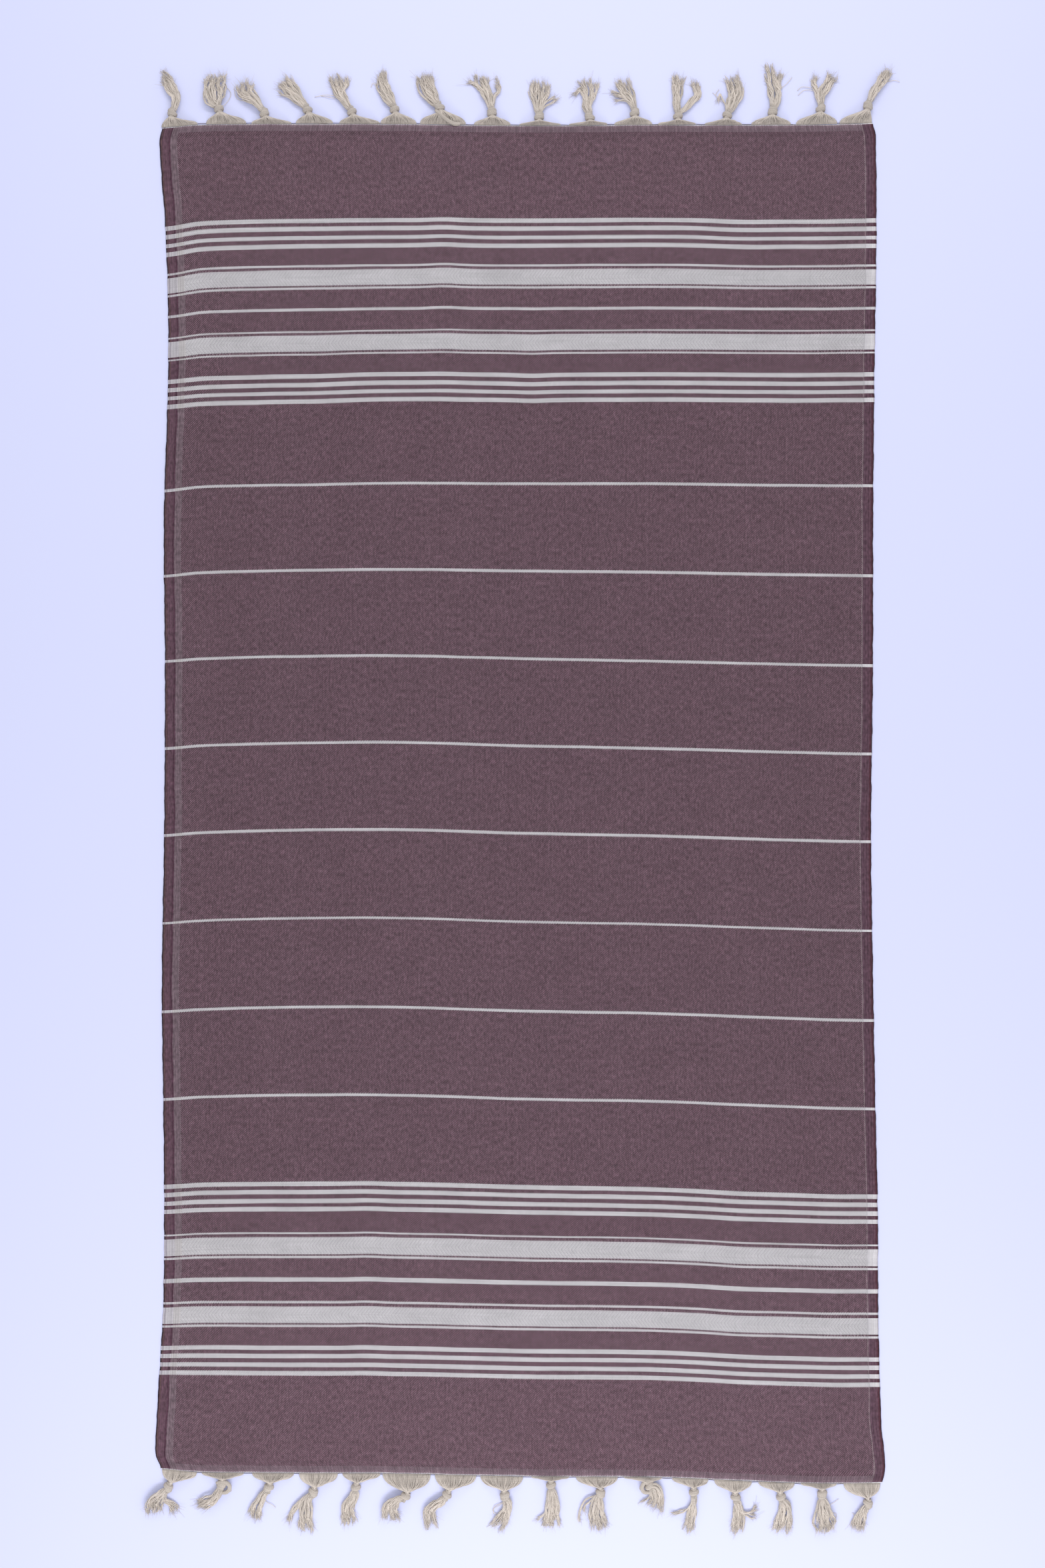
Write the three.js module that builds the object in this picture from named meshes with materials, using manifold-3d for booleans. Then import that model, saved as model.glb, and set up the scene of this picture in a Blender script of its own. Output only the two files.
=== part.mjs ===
// A striped fouta towel laid flat: one woven cloth, with sixteen knotted tassels at each end.
// Millimetres, +Z up, +Y along the cloth, +X across it. The cloth lies on z = 0.

import * as THREE from 'three';
import Module from 'manifold-3d';

// Driving dimensions
const upperEnd = 901;
const lowerEnd = -902.5;
const clothThickness = 1.5;
const selvedgeWidth = 12;
const selvedgeExtra = 0.3;
const seamGap = 0.3;

const clothColumns = 16;
const clothRows = 26;
const edgeBunching = 0.25;

const knotLength = 15;
const knotWidth = 13;
const knotHeight = 9.4;
const knotSides = 8;
const knotSquareness = 0.75;
const knotTurn = 0.5;
const knotProfile = [
  { at: -0.5, girth: 0.55 },
  { at: -0.26, girth: 0.98 },
  { at: 0.2, girth: 1 },
  { at: 0.42, girth: 0.9 },
];

const fanThickness = 1.4;
const fanRise = 4.4;
const fanBulge = 1.7;
const fanEdgeFall = 0.6;
const fanShares = [0, 0.4, 0.75];
const fanColumns = [-1, -0.35, 0.35, 1];

const strandRings = 5;
const strandHeight = 2.9;
const strandFill = 0.84;
const strandTaperFrom = 0.5;
const strandTipShare = 0.55;
const strandRootPitch = 2.2;
const strandRootDepth = 3;
const strandReachStep = 0.1;
const reachVariation = { size: 0.5, perTassel: 2.3, perStrand: 2.1, perLayer: 1.3 };
const pathStep = 0.05;
const lockPitch = [2.2, 5, 6, 5];
const lowerLayer = { count: 4, height: 1.7, tipHeight: 0.4 };
const upperLayer = { count: 3, height: 4.9, tipHeight: 3.5 };

const maroon = '#64515b';
const cream = '#c9bdb0';
const clothRoughness = 0.92;
const yarnRoughness = 0.88;

// How far the two long edges lie from the middle line, from the upper end to the lower end
const outline = [
  { at: 901, left: -480, right: 478 },
  { at: 884, left: -484, right: 481.5 },
  { at: 780, left: -476, right: 482 },
  { at: 670, left: -471.5, right: 480.5 },
  { at: 560, left: -471, right: 478 },
  { at: 380, left: -475.5, right: 475.5 },
  { at: 170, left: -473, right: 474 },
  { at: -45, left: -473, right: 470.5 },
  { at: -260, left: -475, right: 472.5 },
  { at: -400, left: -472.5, right: 474.5 },
  { at: -540, left: -470.5, right: 477 },
  { at: -680, left: -471, right: 477 },
  { at: -820, left: -478, right: 480 },
  { at: -884, left: -480, right: 485 },
  { at: -902.5, left: -473, right: 481 },
];

// How far one weft yarn strays along the cloth from where it crosses the middle line. The stations
// run across the cloth, -1 at the left selvedge and 1 at the right one.
const stations = [-1, -0.9, -0.7, -0.35, 0, 0.4, 0.8, 1];
const weftCourse = [
  { at: 901, stray: [-3, 1.2, 2.2, 2, 0, 1, 1, 3] },
  { at: 640, stray: [-14, -5, -1, 0.7, 0, 1, -1.5, -0.3] },
  { at: 416, stray: [-9.5, -4.5, -1.6, 0.8, 0, 0, -2, -2.5] },
  { at: 64, stray: [-2.5, 0.5, 3.2, 4.9, 0, -3.5, -8.6, -10.5] },
  { at: -402, stray: [0.8, 2.8, 5, 5.1, 0, -3.4, -10.7, -13.2] },
  { at: -775, stray: [5.3, 5.2, 4.5, 3.7, 0, -2, -10, -10.8] },
  { at: -902.5, stray: [10, 5.5, 4.5, 3.7, 0, -1.5, -9, -8.5] },
];

// Soft lengthwise ridges left by folding: place across, place along, length and height
const ridges = [
  { across: -0.2, along: 620, reach: 330, height: 0.7 },
  { across: 0.47, along: -620, reach: 300, height: 0.8 },
  { across: -0.35, along: -560, reach: 260, height: 0.6 },
  { across: -0.93, along: 480, reach: 260, height: 0.8 },
  { across: 0.9, along: 120, reach: 420, height: 0.5 },
];
const ridgeHalfWidth = 0.09;

// The tassels, from left to right. from and to: the stretch of the cloth's end whose warp the tassel
// gathers. knot: its centre, across and outward from that end. tail: three points along the tail's
// middle, the last at its tip, with the tail's width at each. lock: the line of one lock that has left
// the tail, where one has.
const topTassels = [
  { from: -481, to: -433, knot: [-466, 16.5], tail: [[-465, 36], [-471, 57], [-482, 76.5]], width: [12, 20, 18] },
  { from: -421, to: -367, knot: [-403.5, 19], tail: [[-409, 31], [-410, 47], [-410, 67]], width: [28, 31, 26] },
  { from: -360, to: -306, knot: [-342.5, 12.5], tail: [[-354, 28], [-367, 40.5], [-372, 56.5]], width: [13, 25, 22] },
  { from: -300, to: -250, knot: [-284, 17], tail: [[-297, 33.5], [-308, 45.5], [-319, 57.5]], width: [16, 25, 28] },
  { from: -241, to: -187, knot: [-224.5, 14.5], tail: [[-236, 32.5], [-243, 48], [-249, 68]], width: [13, 19, 17],
    lock: [[-237, 39.5], [-231, 51.5], [-229, 65.5]] },
  { from: -186, to: -138, knot: [-167, 18], tail: [[-176, 37], [-183, 52], [-186, 71]], width: [18, 20, 17] },
  { from: -133, to: -71, knot: [-106, 21.5], tail: [[-115, 33.5], [-123, 49], [-128, 66]], width: [19, 28, 30] },
  { from: -60, to: -11, knot: [-36, 15.5], tail: [[-41, 39], [-47, 54], [-51, 70]], width: [15, 20, 26],
    lock: [[-33, 35], [-27, 47], [-32, 67]] },
  { from: 1, to: 57, knot: [27.5, 10], tail: [[27, 29], [29, 44], [31, 60.5]], width: [17, 30, 34],
    lock: [[36, 26], [46, 34], [57, 39]] },
  { from: 68, to: 120, knot: [96, 9], tail: [[92, 25.5], [93, 44], [88, 63]], width: [14, 18, 28],
    lock: [[91, 34.5], [84, 47.5], [74, 45.5]] },
  { from: 129, to: 180, knot: [156, 14.5], tail: [[152, 31], [144, 44.5], [138, 61]], width: [14, 24, 20],
    lock: [[150, 30], [138, 37], [124, 39]] },
  { from: 188, to: 239, knot: [214.5, 10], tail: [[213, 30], [214, 47], [215, 66.5]], width: [12, 18, 24],
    lock: [[231, 27], [241, 42], [236, 58]] },
  { from: 251, to: 301, knot: [281, 11.5], tail: [[288, 30], [293, 46], [290, 68.5]], width: [18, 23, 27],
    lock: [[278, 30], [272, 42], [266, 32]] },
  { from: 314, to: 367, knot: [342, 16], tail: [[345, 35], [341, 56], [336, 84]], width: [19, 17, 18],
    lock: [[350, 42], [352, 56], [355, 72]] },
  { from: 374, to: 429, knot: [406.5, 19.5], tail: [[408, 39.5], [417, 54], [426, 66.5]], width: [13, 14, 15],
    lock: [[403, 39.5], [399, 53.5], [401, 66.5]] },
  { from: 433, to: 476, knot: [470.5, 21.5], tail: [[478, 40], [489, 56], [500, 72]], width: [12, 16, 15] },
];
const bottomTassels = [
  { from: -471, to: -425, knot: [-462.5, 21.5], tail: [[-472, 31], [-480, 41], [-478, 55.5]], width: [14, 26, 34] },
  { from: -419, to: -363, knot: [-391.5, 13.5], tail: [[-399, 29.5], [-410, 37], [-423, 43]], width: [12, 17, 17] },
  { from: -352, to: -297, knot: [-329.5, 17.5], tail: [[-338, 30.5], [-345, 45], [-348, 61]], width: [12, 20, 23] },
  { from: -290, to: -239, knot: [-271, 23], tail: [[-279, 36.5], [-281, 56.5], [-282, 77]], width: [14, 20, 22],
    lock: [[-286, 34.5], [-297, 49.5], [-303, 62.5]] },
  { from: -233, to: -183, knot: [-214.5, 17], tail: [[-218, 30], [-226, 45], [-224, 68]], width: [14, 16, 24] },
  { from: -180, to: -116, knot: [-149, 28], tail: [[-161, 32], [-170, 44], [-169, 61.5]], width: [12, 23, 29] },
  { from: -110, to: -56, knot: [-94.5, 25], tail: [[-103, 33.5], [-118, 45.5], [-116, 73]], width: [13, 17, 21] },
  { from: -50, to: 6, knot: [-18, 24], tail: [[-15, 33.5], [-17, 48.5], [-33, 71.5]], width: [12, 15, 26] },
  { from: 17, to: 67, knot: [43, 9.5], tail: [[44, 29.5], [44, 47.5], [43, 66.5]], width: [18, 20, 28] },
  { from: 76, to: 131, knot: [108, 19.5], tail: [[104, 32], [103, 48.5], [107, 70]], width: [18, 22, 28],
    lock: [[96, 28], [86, 39], [86, 60]] },
  { from: 139, to: 190, knot: [172.5, 9.5], tail: [[180, 13], [183, 26], [177, 41]], width: [15, 20, 32] },
  { from: 203, to: 251, knot: [231.5, 16.5], tail: [[231, 32], [228, 50], [224, 72.5]], width: [9, 13, 17],
    lock: [[226, 36], [214, 43], [202, 46]] },
  { from: 259, to: 308, knot: [286.5, 20.5], tail: [[289, 30.5], [290, 49], [287, 71.5]], width: [12, 17, 17],
    lock: [[296, 39.5], [307, 39.5], [315, 31.5]] },
  { from: 317, to: 365, knot: [346.5, 17.5], tail: [[352, 31], [351, 46], [347, 67]], width: [16, 20, 27] },
  { from: 373, to: 421, knot: [401, 12], tail: [[402, 28.5], [403, 45.5], [404, 63.5]], width: [20, 32, 26] },
  { from: 430, to: 478, knot: [461, 25], tail: [[456, 36], [452, 47], [449, 62]], width: [14, 19, 20] },
];

const mix = (a, b, share) => a + (b - a) * share;

// A place from -1 to 1 drawn towards the nearer end, so that the cloth's grid is finer at its edges
const bunched = (even) => mix(even, Math.sin((even * Math.PI) / 2), edgeBunching);

// A smooth curve through evenly counted values, read at a place between two of them or just past an end
function smooth(values, index) {
  const i = Math.max(0, Math.min(Math.floor(index), values.length - 2));
  const t = index - i;
  const [b, c] = [values[i], values[i + 1]];
  const a = values[i - 1] ?? b;
  const d = values[i + 2] ?? c;
  const bend = (2 * a - 5 * b + 4 * c - d) * t * t + (3 * (b - c) + d - a) * t * t * t;
  return b + ((c - a) * t + bend) / 2;
}

// Where a place lies in a rising or falling list of places, as a whole index and a share
function indexIn(places, place) {
  const way = Math.sign(places[places.length - 1] - places[0]);
  const last = places.length - 2;
  const i = places.findIndex((_, k) => k === last || way * (places[k + 1] - place) >= 0);
  const share = (place - places[i]) / (places[i + 1] - places[i]);
  return i + Math.min(Math.max(share, 0), 1);
}

// The cloth's point at across (-1 to 1) on the weft yarn that crosses the middle line at along
function clothPoint(across, along) {
  const row = indexIn(outline.map((r) => r.at), along);
  const left = smooth(outline.map((r) => r.left), row);
  const right = smooth(outline.map((r) => r.right), row);
  const station = indexIn(stations, across);
  const strays = weftCourse.map((r) => smooth(r.stray, station));
  const stray = smooth(strays, indexIn(weftCourse.map((r) => r.at), along));
  return [mix(left, right, (across + 1) / 2), along + stray];
}

// The height of the cloth's upper face: soft ridges, and a little more at the selvedges
function clothHeight(across, along, halfWidth) {
  const fromEdge = (1 - Math.abs(across)) * halfWidth;
  const edge = fromEdge < selvedgeWidth ? selvedgeExtra : 0;
  const relief = ridges.map((ridge) => {
    const sideways = (across - ridge.across) / ridgeHalfWidth;
    const lengthways = (along - ridge.along) / ridge.reach;
    return ridge.height * Math.exp(-sideways * sideways - lengthways * lengthways);
  });
  return clothThickness + edge + relief.reduce((sum, height) => sum + height, 0);
}

// A closed body through rings of points, alike in number, its two ends closed across
function loft(rings) {
  const sides = rings[0].length;
  const triangles = [];
  for (let ring = 0; ring < rings.length - 1; ring++) {
    for (let side = 0; side < sides; side++) {
      const a = ring * sides + side;
      const b = ring * sides + ((side + 1) % sides);
      triangles.push(a, b, b + sides, a, b + sides, a + sides);
    }
  }
  const closeEnd = (first, turned) => {
    for (let low = 0, high = sides - 1; high - low > 1; low += 1, high -= 1) {
      triangles.push(...facing([low, high, low + 1], first, turned));
      if (high - low > 2) triangles.push(...facing([low + 1, high, high - 1], first, turned));
    }
  };
  closeEnd(0, false);
  closeEnd((rings.length - 1) * sides, true);
  return outward(rings.flat(), triangles);
}

// A triangle of a ring's own corners, as whole numbers in the list of points
function facing(corners, first, turned) {
  const [a, b, c] = corners.map((corner) => corner + first);
  return turned ? [a, c, b] : [a, b, c];
}

// A geometry with its faces turned out, whichever way the points ran
function outward(points, triangles) {
  let volume = 0;
  for (let i = 0; i < triangles.length; i += 3) {
    const [a, b, c] = triangles.slice(i, i + 3).map((k) => points[k]);
    volume += a.dot(b.clone().cross(c));
  }
  const index = volume < 0 ? [...triangles].reverse() : triangles;
  const geometry = new THREE.BufferGeometry().setFromPoints(points);
  geometry.setIndex(index);
  return geometry;
}

// The cloth: a wall through one ring for each row, upper face from left to right and back below
const acrossAt = [];
for (let column = 0; column <= clothColumns; column++) {
  acrossAt.push(bunched((2 * column) / clothColumns - 1));
}
const alongAt = [];
for (let row = 0; row <= clothRows; row++) {
  alongAt.push(mix(upperEnd, lowerEnd, (bunched((2 * row) / clothRows - 1) + 1) / 2));
}

function clothGeometry() {
  const rings = alongAt.map((along) => {
    const upper = acrossAt.map((across) => {
      const [x, y] = clothPoint(across, along);
      return new THREE.Vector3(x, y, clothHeight(across, along, Math.abs(x)));
    });
    const lower = upper.map((point) => new THREE.Vector3(point.x, point.y, 0)).reverse();
    return [...upper, ...lower];
  });
  return loft(rings);
}

// The cloth's end edge, straight from column to column as the wall is
function endEdge(end, x) {
  const edge = acrossAt.map((across) => clothPoint(across, end > 0 ? upperEnd : lowerEnd));
  const place = indexIn(edge.map((point) => point[0]), x);
  const column = Math.min(Math.floor(place), edge.length - 2);
  return mix(edge[column][1], edge[column + 1][1], place - column);
}

// The fan and the knot in one body: the fan leaves the cloth's end as a thin slab, bulges and closes
// in on a stem, and the overhand knot is a squat barrel along the line from the fan to the tail
function fanAndKnot(tassel, end, knot, heading) {
  const stemWidth = knotWidth * knotProfile[0].girth;
  const rings = fanShares.map((share) => {
    const closing = share ** fanBulge;
    const left = mix(tassel.from, knot.x - stemWidth / 2, closing);
    const right = mix(tassel.to, knot.x + stemWidth / 2, closing);
    const upper = fanColumns.map((column) => {
      const x = mix(left, right, (column + 1) / 2);
      const y = mix(endEdge(end, x) + end * seamGap, knot.y - (end * knotLength) / 2, share);
      const crown = fanRise * share * share * (1 - fanEdgeFall * column * column);
      return new THREE.Vector3(x, y, fanThickness + crown);
    });
    const lower = upper.map((point) => new THREE.Vector3(point.x, point.y, 0)).reverse();
    return [...upper, ...lower];
  });
  const sideways = sidewaysOf(heading, end);
  for (const { at, girth } of knotProfile) {
    const ring = [];
    for (let side = 0; side < knotSides; side++) {
      const angle = Math.PI - ((side + 0.5) / knotSides) * 2 * Math.PI;
      const across = Math.sign(Math.cos(angle)) * Math.abs(Math.cos(angle)) ** knotSquareness;
      const up = Math.sign(Math.sin(angle)) * Math.abs(Math.sin(angle)) ** knotSquareness;
      const point = knot.clone().addScaledVector(heading, at * knotLength);
      point.addScaledVector(sideways, (across * girth * knotWidth) / 2);
      point.z += (up * girth * knotHeight) / 2;
      ring.push(point);
    }
    rings.push(ring);
  }
  return loft(rings);
}

// The level direction to the right of a tassel that runs along heading, seen from above with the
// cloth's upper end at the top
function sidewaysOf(heading, end) {
  return new THREE.Vector3(end * heading.y, -end * heading.x, 0).normalize();
}

// A point on the smooth line through the points of a path, at a whole index and a share
function pointOn(path, index) {
  const coordinate = (axis) => smooth(path.map((point) => point[axis]), index);
  return new THREE.Vector3(coordinate('x'), coordinate('y'), 0);
}

// One lock: a slim three-sided body along a path, from inside the knot to its own tip. place counts
// the locks to the side of the path, and pitch is their spacing at each of the path's points. A lock
// fills most of its share of the width, so that it stands clear of the locks beside it.
function strand({ path, pitch, place, reach, end, layer }) {
  const rings = [];
  for (let ring = 0; ring < strandRings; ring++) {
    const t = ring / (strandRings - 1);
    const index = t * (path.length - 1 + reach);
    const ahead = pointOn(path, index + pathStep).sub(pointOn(path, index - pathStep));
    const sideways = sidewaysOf(ahead, end);
    const room = smooth(pitch, index);
    const middle = pointOn(path, index).addScaledVector(sideways, place * room);
    middle.z = mix(layer.height, layer.tipHeight, t);
    const narrowing = Math.max(0, (t - strandTaperFrom) / (1 - strandTaperFrom));
    const taper = mix(1, strandTipShare, narrowing);
    const half = (room * strandFill * taper) / 2;
    const ridge = middle.clone();
    ridge.z += strandHeight * taper;
    const left = middle.clone().addScaledVector(sideways, -half);
    const right = middle.clone().addScaledVector(sideways, half);
    rings.push([left, right, ridge]);
  }
  return loft(rings);
}

// The tail's locks: four on the surface and three on them, each with a reach of its own. A lock that
// has left the tail takes the place of the upper one on its side.
function strands(tassel, end, knot, order) {
  const [knotX, knotOut] = tassel.knot;
  const atKnot = ([x, out]) => new THREE.Vector3(knot.x + x - knotX, knot.y + end * (out - knotOut), 0);
  const tail = tassel.tail.map(atKnot);
  const root = knot.clone().setZ(0);
  root.addScaledVector(tail[0].clone().sub(root).normalize(), strandRootDepth);
  const pitch = [strandRootPitch, ...tassel.width.map((width) => width / lowerLayer.count)];
  const { size, perTassel, perStrand, perLayer } = reachVariation;
  const bodies = [];
  [lowerLayer, upperLayer].forEach((layer, level) => {
    for (let k = 0; k < layer.count; k++) {
      const place = k - (layer.count - 1) / 2;
      const phase = order * perTassel + k * perStrand + level * perLayer;
      const reach = (size * Math.sin(phase) - Math.abs(place)) * strandReachStep;
      if (tassel.lock && layer === upperLayer && k === lockSide(tassel)) {
        const path = [root, ...tassel.lock.map(atKnot)];
        bodies.push(strand({ path, pitch: lockPitch, place: 0, reach: 0, end, layer }));
      } else {
        bodies.push(strand({ path: [root, ...tail], pitch, place, reach, end, layer }));
      }
    }
  });
  return bodies;
}

// The upper lock on the side to which one has left the tail
function lockSide(tassel) {
  return tassel.lock[1][0] > tassel.tail[1][0] ? upperLayer.count - 1 : 0;
}

const wasm = await Module();
wasm.setup();

function solid(geometry) {
  return new wasm.Manifold(new wasm.Mesh({
    numProp: 3,
    vertProperties: new Float32Array(geometry.attributes.position.array),
    triVerts: new Uint32Array(geometry.index.array),
  }));
}

function fused(geometries) {
  const whole = geometries.map(solid).reduce((sum, next) => sum.add(next));
  const mesh = whole.getMesh();
  const geometry = new THREE.BufferGeometry();
  geometry.setAttribute('position', new THREE.BufferAttribute(mesh.vertProperties, 3));
  geometry.setIndex(new THREE.BufferAttribute(mesh.triVerts, 1));
  return geometry;
}

// One tassel: fan, knot and tail in one body, worked out round its own knot. The knot turns half way
// from the cloth's own direction to the tail's.
function tasselMesh(tassel, end, order, name) {
  const [knotX, knotOut] = tassel.knot;
  const place = new THREE.Vector3(knotX, endEdge(end, knotX) + end * knotOut, 0);
  const knot = new THREE.Vector3(place.x, place.y, knotHeight / 2);
  const [tailX, tailOut] = tassel.tail[0];
  const heading = new THREE.Vector3(tailX - knotX, end * (tailOut - knotOut), 0).normalize();
  heading.lerp(new THREE.Vector3(0, end, 0), knotTurn).normalize();
  const bodies = [fanAndKnot(tassel, end, knot, heading), ...strands(tassel, end, knot, order)];
  bodies.forEach((body) => body.translate(-place.x, -place.y, 0));
  const mesh = new THREE.Mesh(fused(bodies), yarn);
  mesh.name = name;
  mesh.position.copy(place);
  return mesh;
}

const weave = new THREE.MeshStandardMaterial({ color: maroon, roughness: clothRoughness, metalness: 0 });
const yarn = new THREE.MeshStandardMaterial({ color: cream, roughness: yarnRoughness, metalness: 0 });

const towel = new THREE.Group();
const cloth = new THREE.Mesh(clothGeometry(), weave);
cloth.name = 'cloth';
towel.add(cloth);

const ends = [
  { name: 'top', end: 1, tassels: topTassels },
  { name: 'bottom', end: -1, tassels: bottomTassels },
];
for (const { name, end, tassels } of ends) {
  tassels.forEach((tassel, order) => {
    const number = String(order + 1).padStart(2, '0');
    towel.add(tasselMesh(tassel, end, order, `tassel_${name}_${number}`));
  });
}

// The origin is under the middle of the whole, tassels and all
const bounds = new THREE.Box3().setFromObject(towel, true);
const middle = bounds.getCenter(new THREE.Vector3());
towel.position.set(-middle.x, -middle.y, -bounds.min.z);

export default towel;
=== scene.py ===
"""A striped maroon fouta towel with a knotted fringe at both ends, laid flat and seen from above."""

import math

import bpy
import numpy as np
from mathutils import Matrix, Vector


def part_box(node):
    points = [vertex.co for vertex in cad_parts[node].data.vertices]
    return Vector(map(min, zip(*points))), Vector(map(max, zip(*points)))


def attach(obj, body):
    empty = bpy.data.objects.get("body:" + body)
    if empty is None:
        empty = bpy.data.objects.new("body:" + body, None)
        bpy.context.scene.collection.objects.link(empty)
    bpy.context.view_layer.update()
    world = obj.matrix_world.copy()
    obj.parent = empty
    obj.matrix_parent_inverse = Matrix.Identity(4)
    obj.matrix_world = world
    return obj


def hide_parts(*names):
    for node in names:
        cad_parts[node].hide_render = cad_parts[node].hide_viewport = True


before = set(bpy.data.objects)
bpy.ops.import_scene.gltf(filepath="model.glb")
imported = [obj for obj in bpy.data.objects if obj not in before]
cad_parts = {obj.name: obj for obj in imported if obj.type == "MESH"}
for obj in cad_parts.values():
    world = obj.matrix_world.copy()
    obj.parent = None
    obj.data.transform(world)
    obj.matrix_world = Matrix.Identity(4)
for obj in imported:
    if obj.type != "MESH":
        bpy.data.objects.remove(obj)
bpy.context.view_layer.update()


# The cloth: one loom width of cotton twill about 950 x 1800 mm, off the loom in one piece with nothing
# sewn on. It lies flat, so its selvedges wave a little, its weft runs in a shallow curve and folding
# has left soft lengthwise ridges. All lengths are in millimetres, and Blender takes metres.

per_metre = 1000
upper_end = 901
lower_end = -902.5
half_width = 473
thickness = 1.5

# place along the cloth, and how far the left and the right selvedge lie from the middle line there
outline = np.array([
    (901, -480, 478), (884, -484, 481.5), (780, -476, 482), (670, -471.5, 480.5), (560, -471, 478),
    (380, -475.5, 475.5), (170, -473, 474), (-45, -473, 470.5), (-260, -475, 472.5), (-400, -472.5, 474.5),
    (-540, -470.5, 477), (-680, -471, 477), (-820, -478, 480), (-884, -480, 485), (-902.5, -473, 481),
])

# how far a weft yarn strays along the cloth at each station across it, for twelve yarns
stations = (-1, -0.9, -0.7, -0.35, 0, 0.4, 0.8, 1)
weft_course = {
    901: (-3, 1.2, 2.2, 2, 0, 1, 1, 3),
    755: (-12.2, -4.2, -1, 0.7, 0, 1.1, -1.3, -0.1),
    640: (-11.5, -5, -2.2, 0.2, 0, 0.7, -0.3, 0.6),
    545: (-9.7, -5.1, -2.5, 1.3, 0, 0.8, -0.5, 0.5),
    416: (-10, -4.5, -2, 0.6, 0, 0, -2.4, -2.9),
    181: (-4.2, -0.3, 2.4, 3.9, 0, -3.7, -7.9, -9.6),
    64: (-3.9, 0.1, 3, 4.7, 0, -3.9, -9.1, -10.9),
    -402: (-0.8, 2.3, 4.9, 5.2, 0, -3.4, -10.7, -13.2),
    -537: (0.2, 3, 4.1, 4.1, 0, -3.5, -11.2, -12.6),
    -660: (2.1, 4.1, 4.3, 3.5, 0, -2.7, -10.2, -11.2),
    -775: (5.3, 5.2, 4.5, 3.7, 0, -2, -10, -10.8),
    -902.5: (10, 5.5, 4.5, 3.7, 0, -1.5, -9, -8.5),
}

# where a fold has pulled the weft aside: place across (-1 to 1) and along, half width (a share), half
# length, and how far it is pulled along the cloth
pulls = (
    (-0.22, 700, 0.05, 110, 1.5), (0.03, 560, 0.05, 70, -1.2), (0.62, 770, 0.1, 90, -1.5),
    (0.61, -650, 0.09, 170, -1.3), (-0.43, -650, 0.05, 170, 1.0), (-0.56, 560, 0.1, 180, -0.6),
)

# ridges left by folding: place across (-1 to 1) and along, half width (a share), half length, height
ridges = (
    (-0.2, 620, 0.09, 330, 0.7), (0.47, -620, 0.09, 300, 0.8), (-0.35, -560, 0.09, 260, 0.6),
    (-0.93, 480, 0.09, 260, 0.8), (0.9, 120, 0.09, 420, 0.5), (-0.2, 700, 0.012, 240, 0.35),
    (0.47, -700, 0.012, 260, 0.4), (-0.35, -640, 0.012, 220, 0.35),
)


def smooth(values, index):
    """A smooth curve through evenly counted values or points, read at places between them."""
    values = np.asarray(values, float)
    index = np.asarray(index, float)
    first = np.clip(np.floor(index).astype(int), 0, len(values) - 2)
    t = (index - first).reshape(index.shape + (1,) * (values.ndim - 1))
    a, b, c, d = (values[np.clip(first + k, 0, len(values) - 1)] for k in (-1, 0, 1, 2))
    return b + ((c - a) * t + (2 * a - 5 * b + 4 * c - d) * t**2 + (3 * (b - c) + d - a) * t**3) / 2


def place_in(places, place):
    """Where a place lies in a rising or falling list of places, as a whole index and a share."""
    way = np.sign(places[-1] - places[0])
    return np.interp(way * np.asarray(place, float), way * np.asarray(places, float), range(len(places)))


def cloth_points(across, along):
    """x and y of the cloth: a row for each weft yarn, a column for each place across."""
    row = place_in(outline[:, 0], along)
    left = smooth(outline[:, 1], row)[:, None]
    right = smooth(outline[:, 2], row)[:, None]
    # how far each yarn of the table strays at each place across, and from that each yarn between them
    strays = [smooth(stray, place_in(stations, across)) for stray in weft_course.values()]
    y = along[:, None] + smooth(strays, place_in(tuple(weft_course), along))
    for pull_across, pull_along, wide, reach, size in pulls:
        sideways = (across[None, :] - pull_across) / wide
        lengthways = (along[:, None] - pull_along) / reach
        y += size * np.exp(-sideways**2 - lengthways**2)
    return left + (right - left) * (across[None, :] + 1) / 2, y


def waver(place, size, shortest, seed):
    """A small irregular waviness along an edge: four waves, each longer than the one before."""
    draw = np.random.default_rng(seed)
    longer = 1.7
    lengths = [shortest * longer**k for k in range(4)]
    waves = [np.sin(2 * np.pi * (place / length + draw.random())) for length in lengths]
    return size * np.mean(waves, axis=0) * 2


def make_piece(name, points, faces, uv, material, tone=None):
    """A smooth mesh from points in mm, with lists of alike faces and their weave coordinates.

    A tone, where one is given, lightens or darkens the yarn from point to point; on the fringe it carries
    painted shade and painted light."""
    mesh = bpy.data.meshes.new(name)
    corners = (points + to_row_frame) / per_metre
    mesh.from_pydata(corners.tolist(), [], sum((face.tolist() for face in faces), []))
    layer = mesh.uv_layers.new(name="weave")
    layer.data.foreach_set("uv", np.concatenate([c.reshape(-1, 2) for c in uv]).astype(np.float32).ravel())
    mesh.polygons.foreach_set("use_smooth", np.ones(len(mesh.polygons), bool))
    if tone is not None:
        mesh.attributes.new("tone", "FLOAT", "POINT").data.foreach_set("value", tone.astype(np.float32))
    mesh.materials.append(material)
    piece = bpy.data.objects.new(name, mesh)
    bpy.context.scene.collection.objects.link(piece)
    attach(piece, "root")
    return piece


# places across and along, closer together at the edges, where the cloth is rounded over
edge_steps = np.array([0, 0.3, 0.8, 1.6, 3, 5, 8, 11.5, 16, 21])
edge_margin = 28
grid_step = 14
inner = np.arange(edge_margin - half_width, half_width - edge_margin + 1, grid_step)
across = np.concatenate([edge_steps - half_width, inner, half_width - edge_steps[::-1]]) / half_width
end_steps = np.array([0, 0.4, 1, 2, 4, 7, 11])
end_margin = 16
row_step = 5.5
inner = np.arange(upper_end - end_margin, lower_end + end_margin - 1, -row_step)
along = np.concatenate([upper_end - end_steps, inner, lower_end + end_steps[::-1]])

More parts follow.
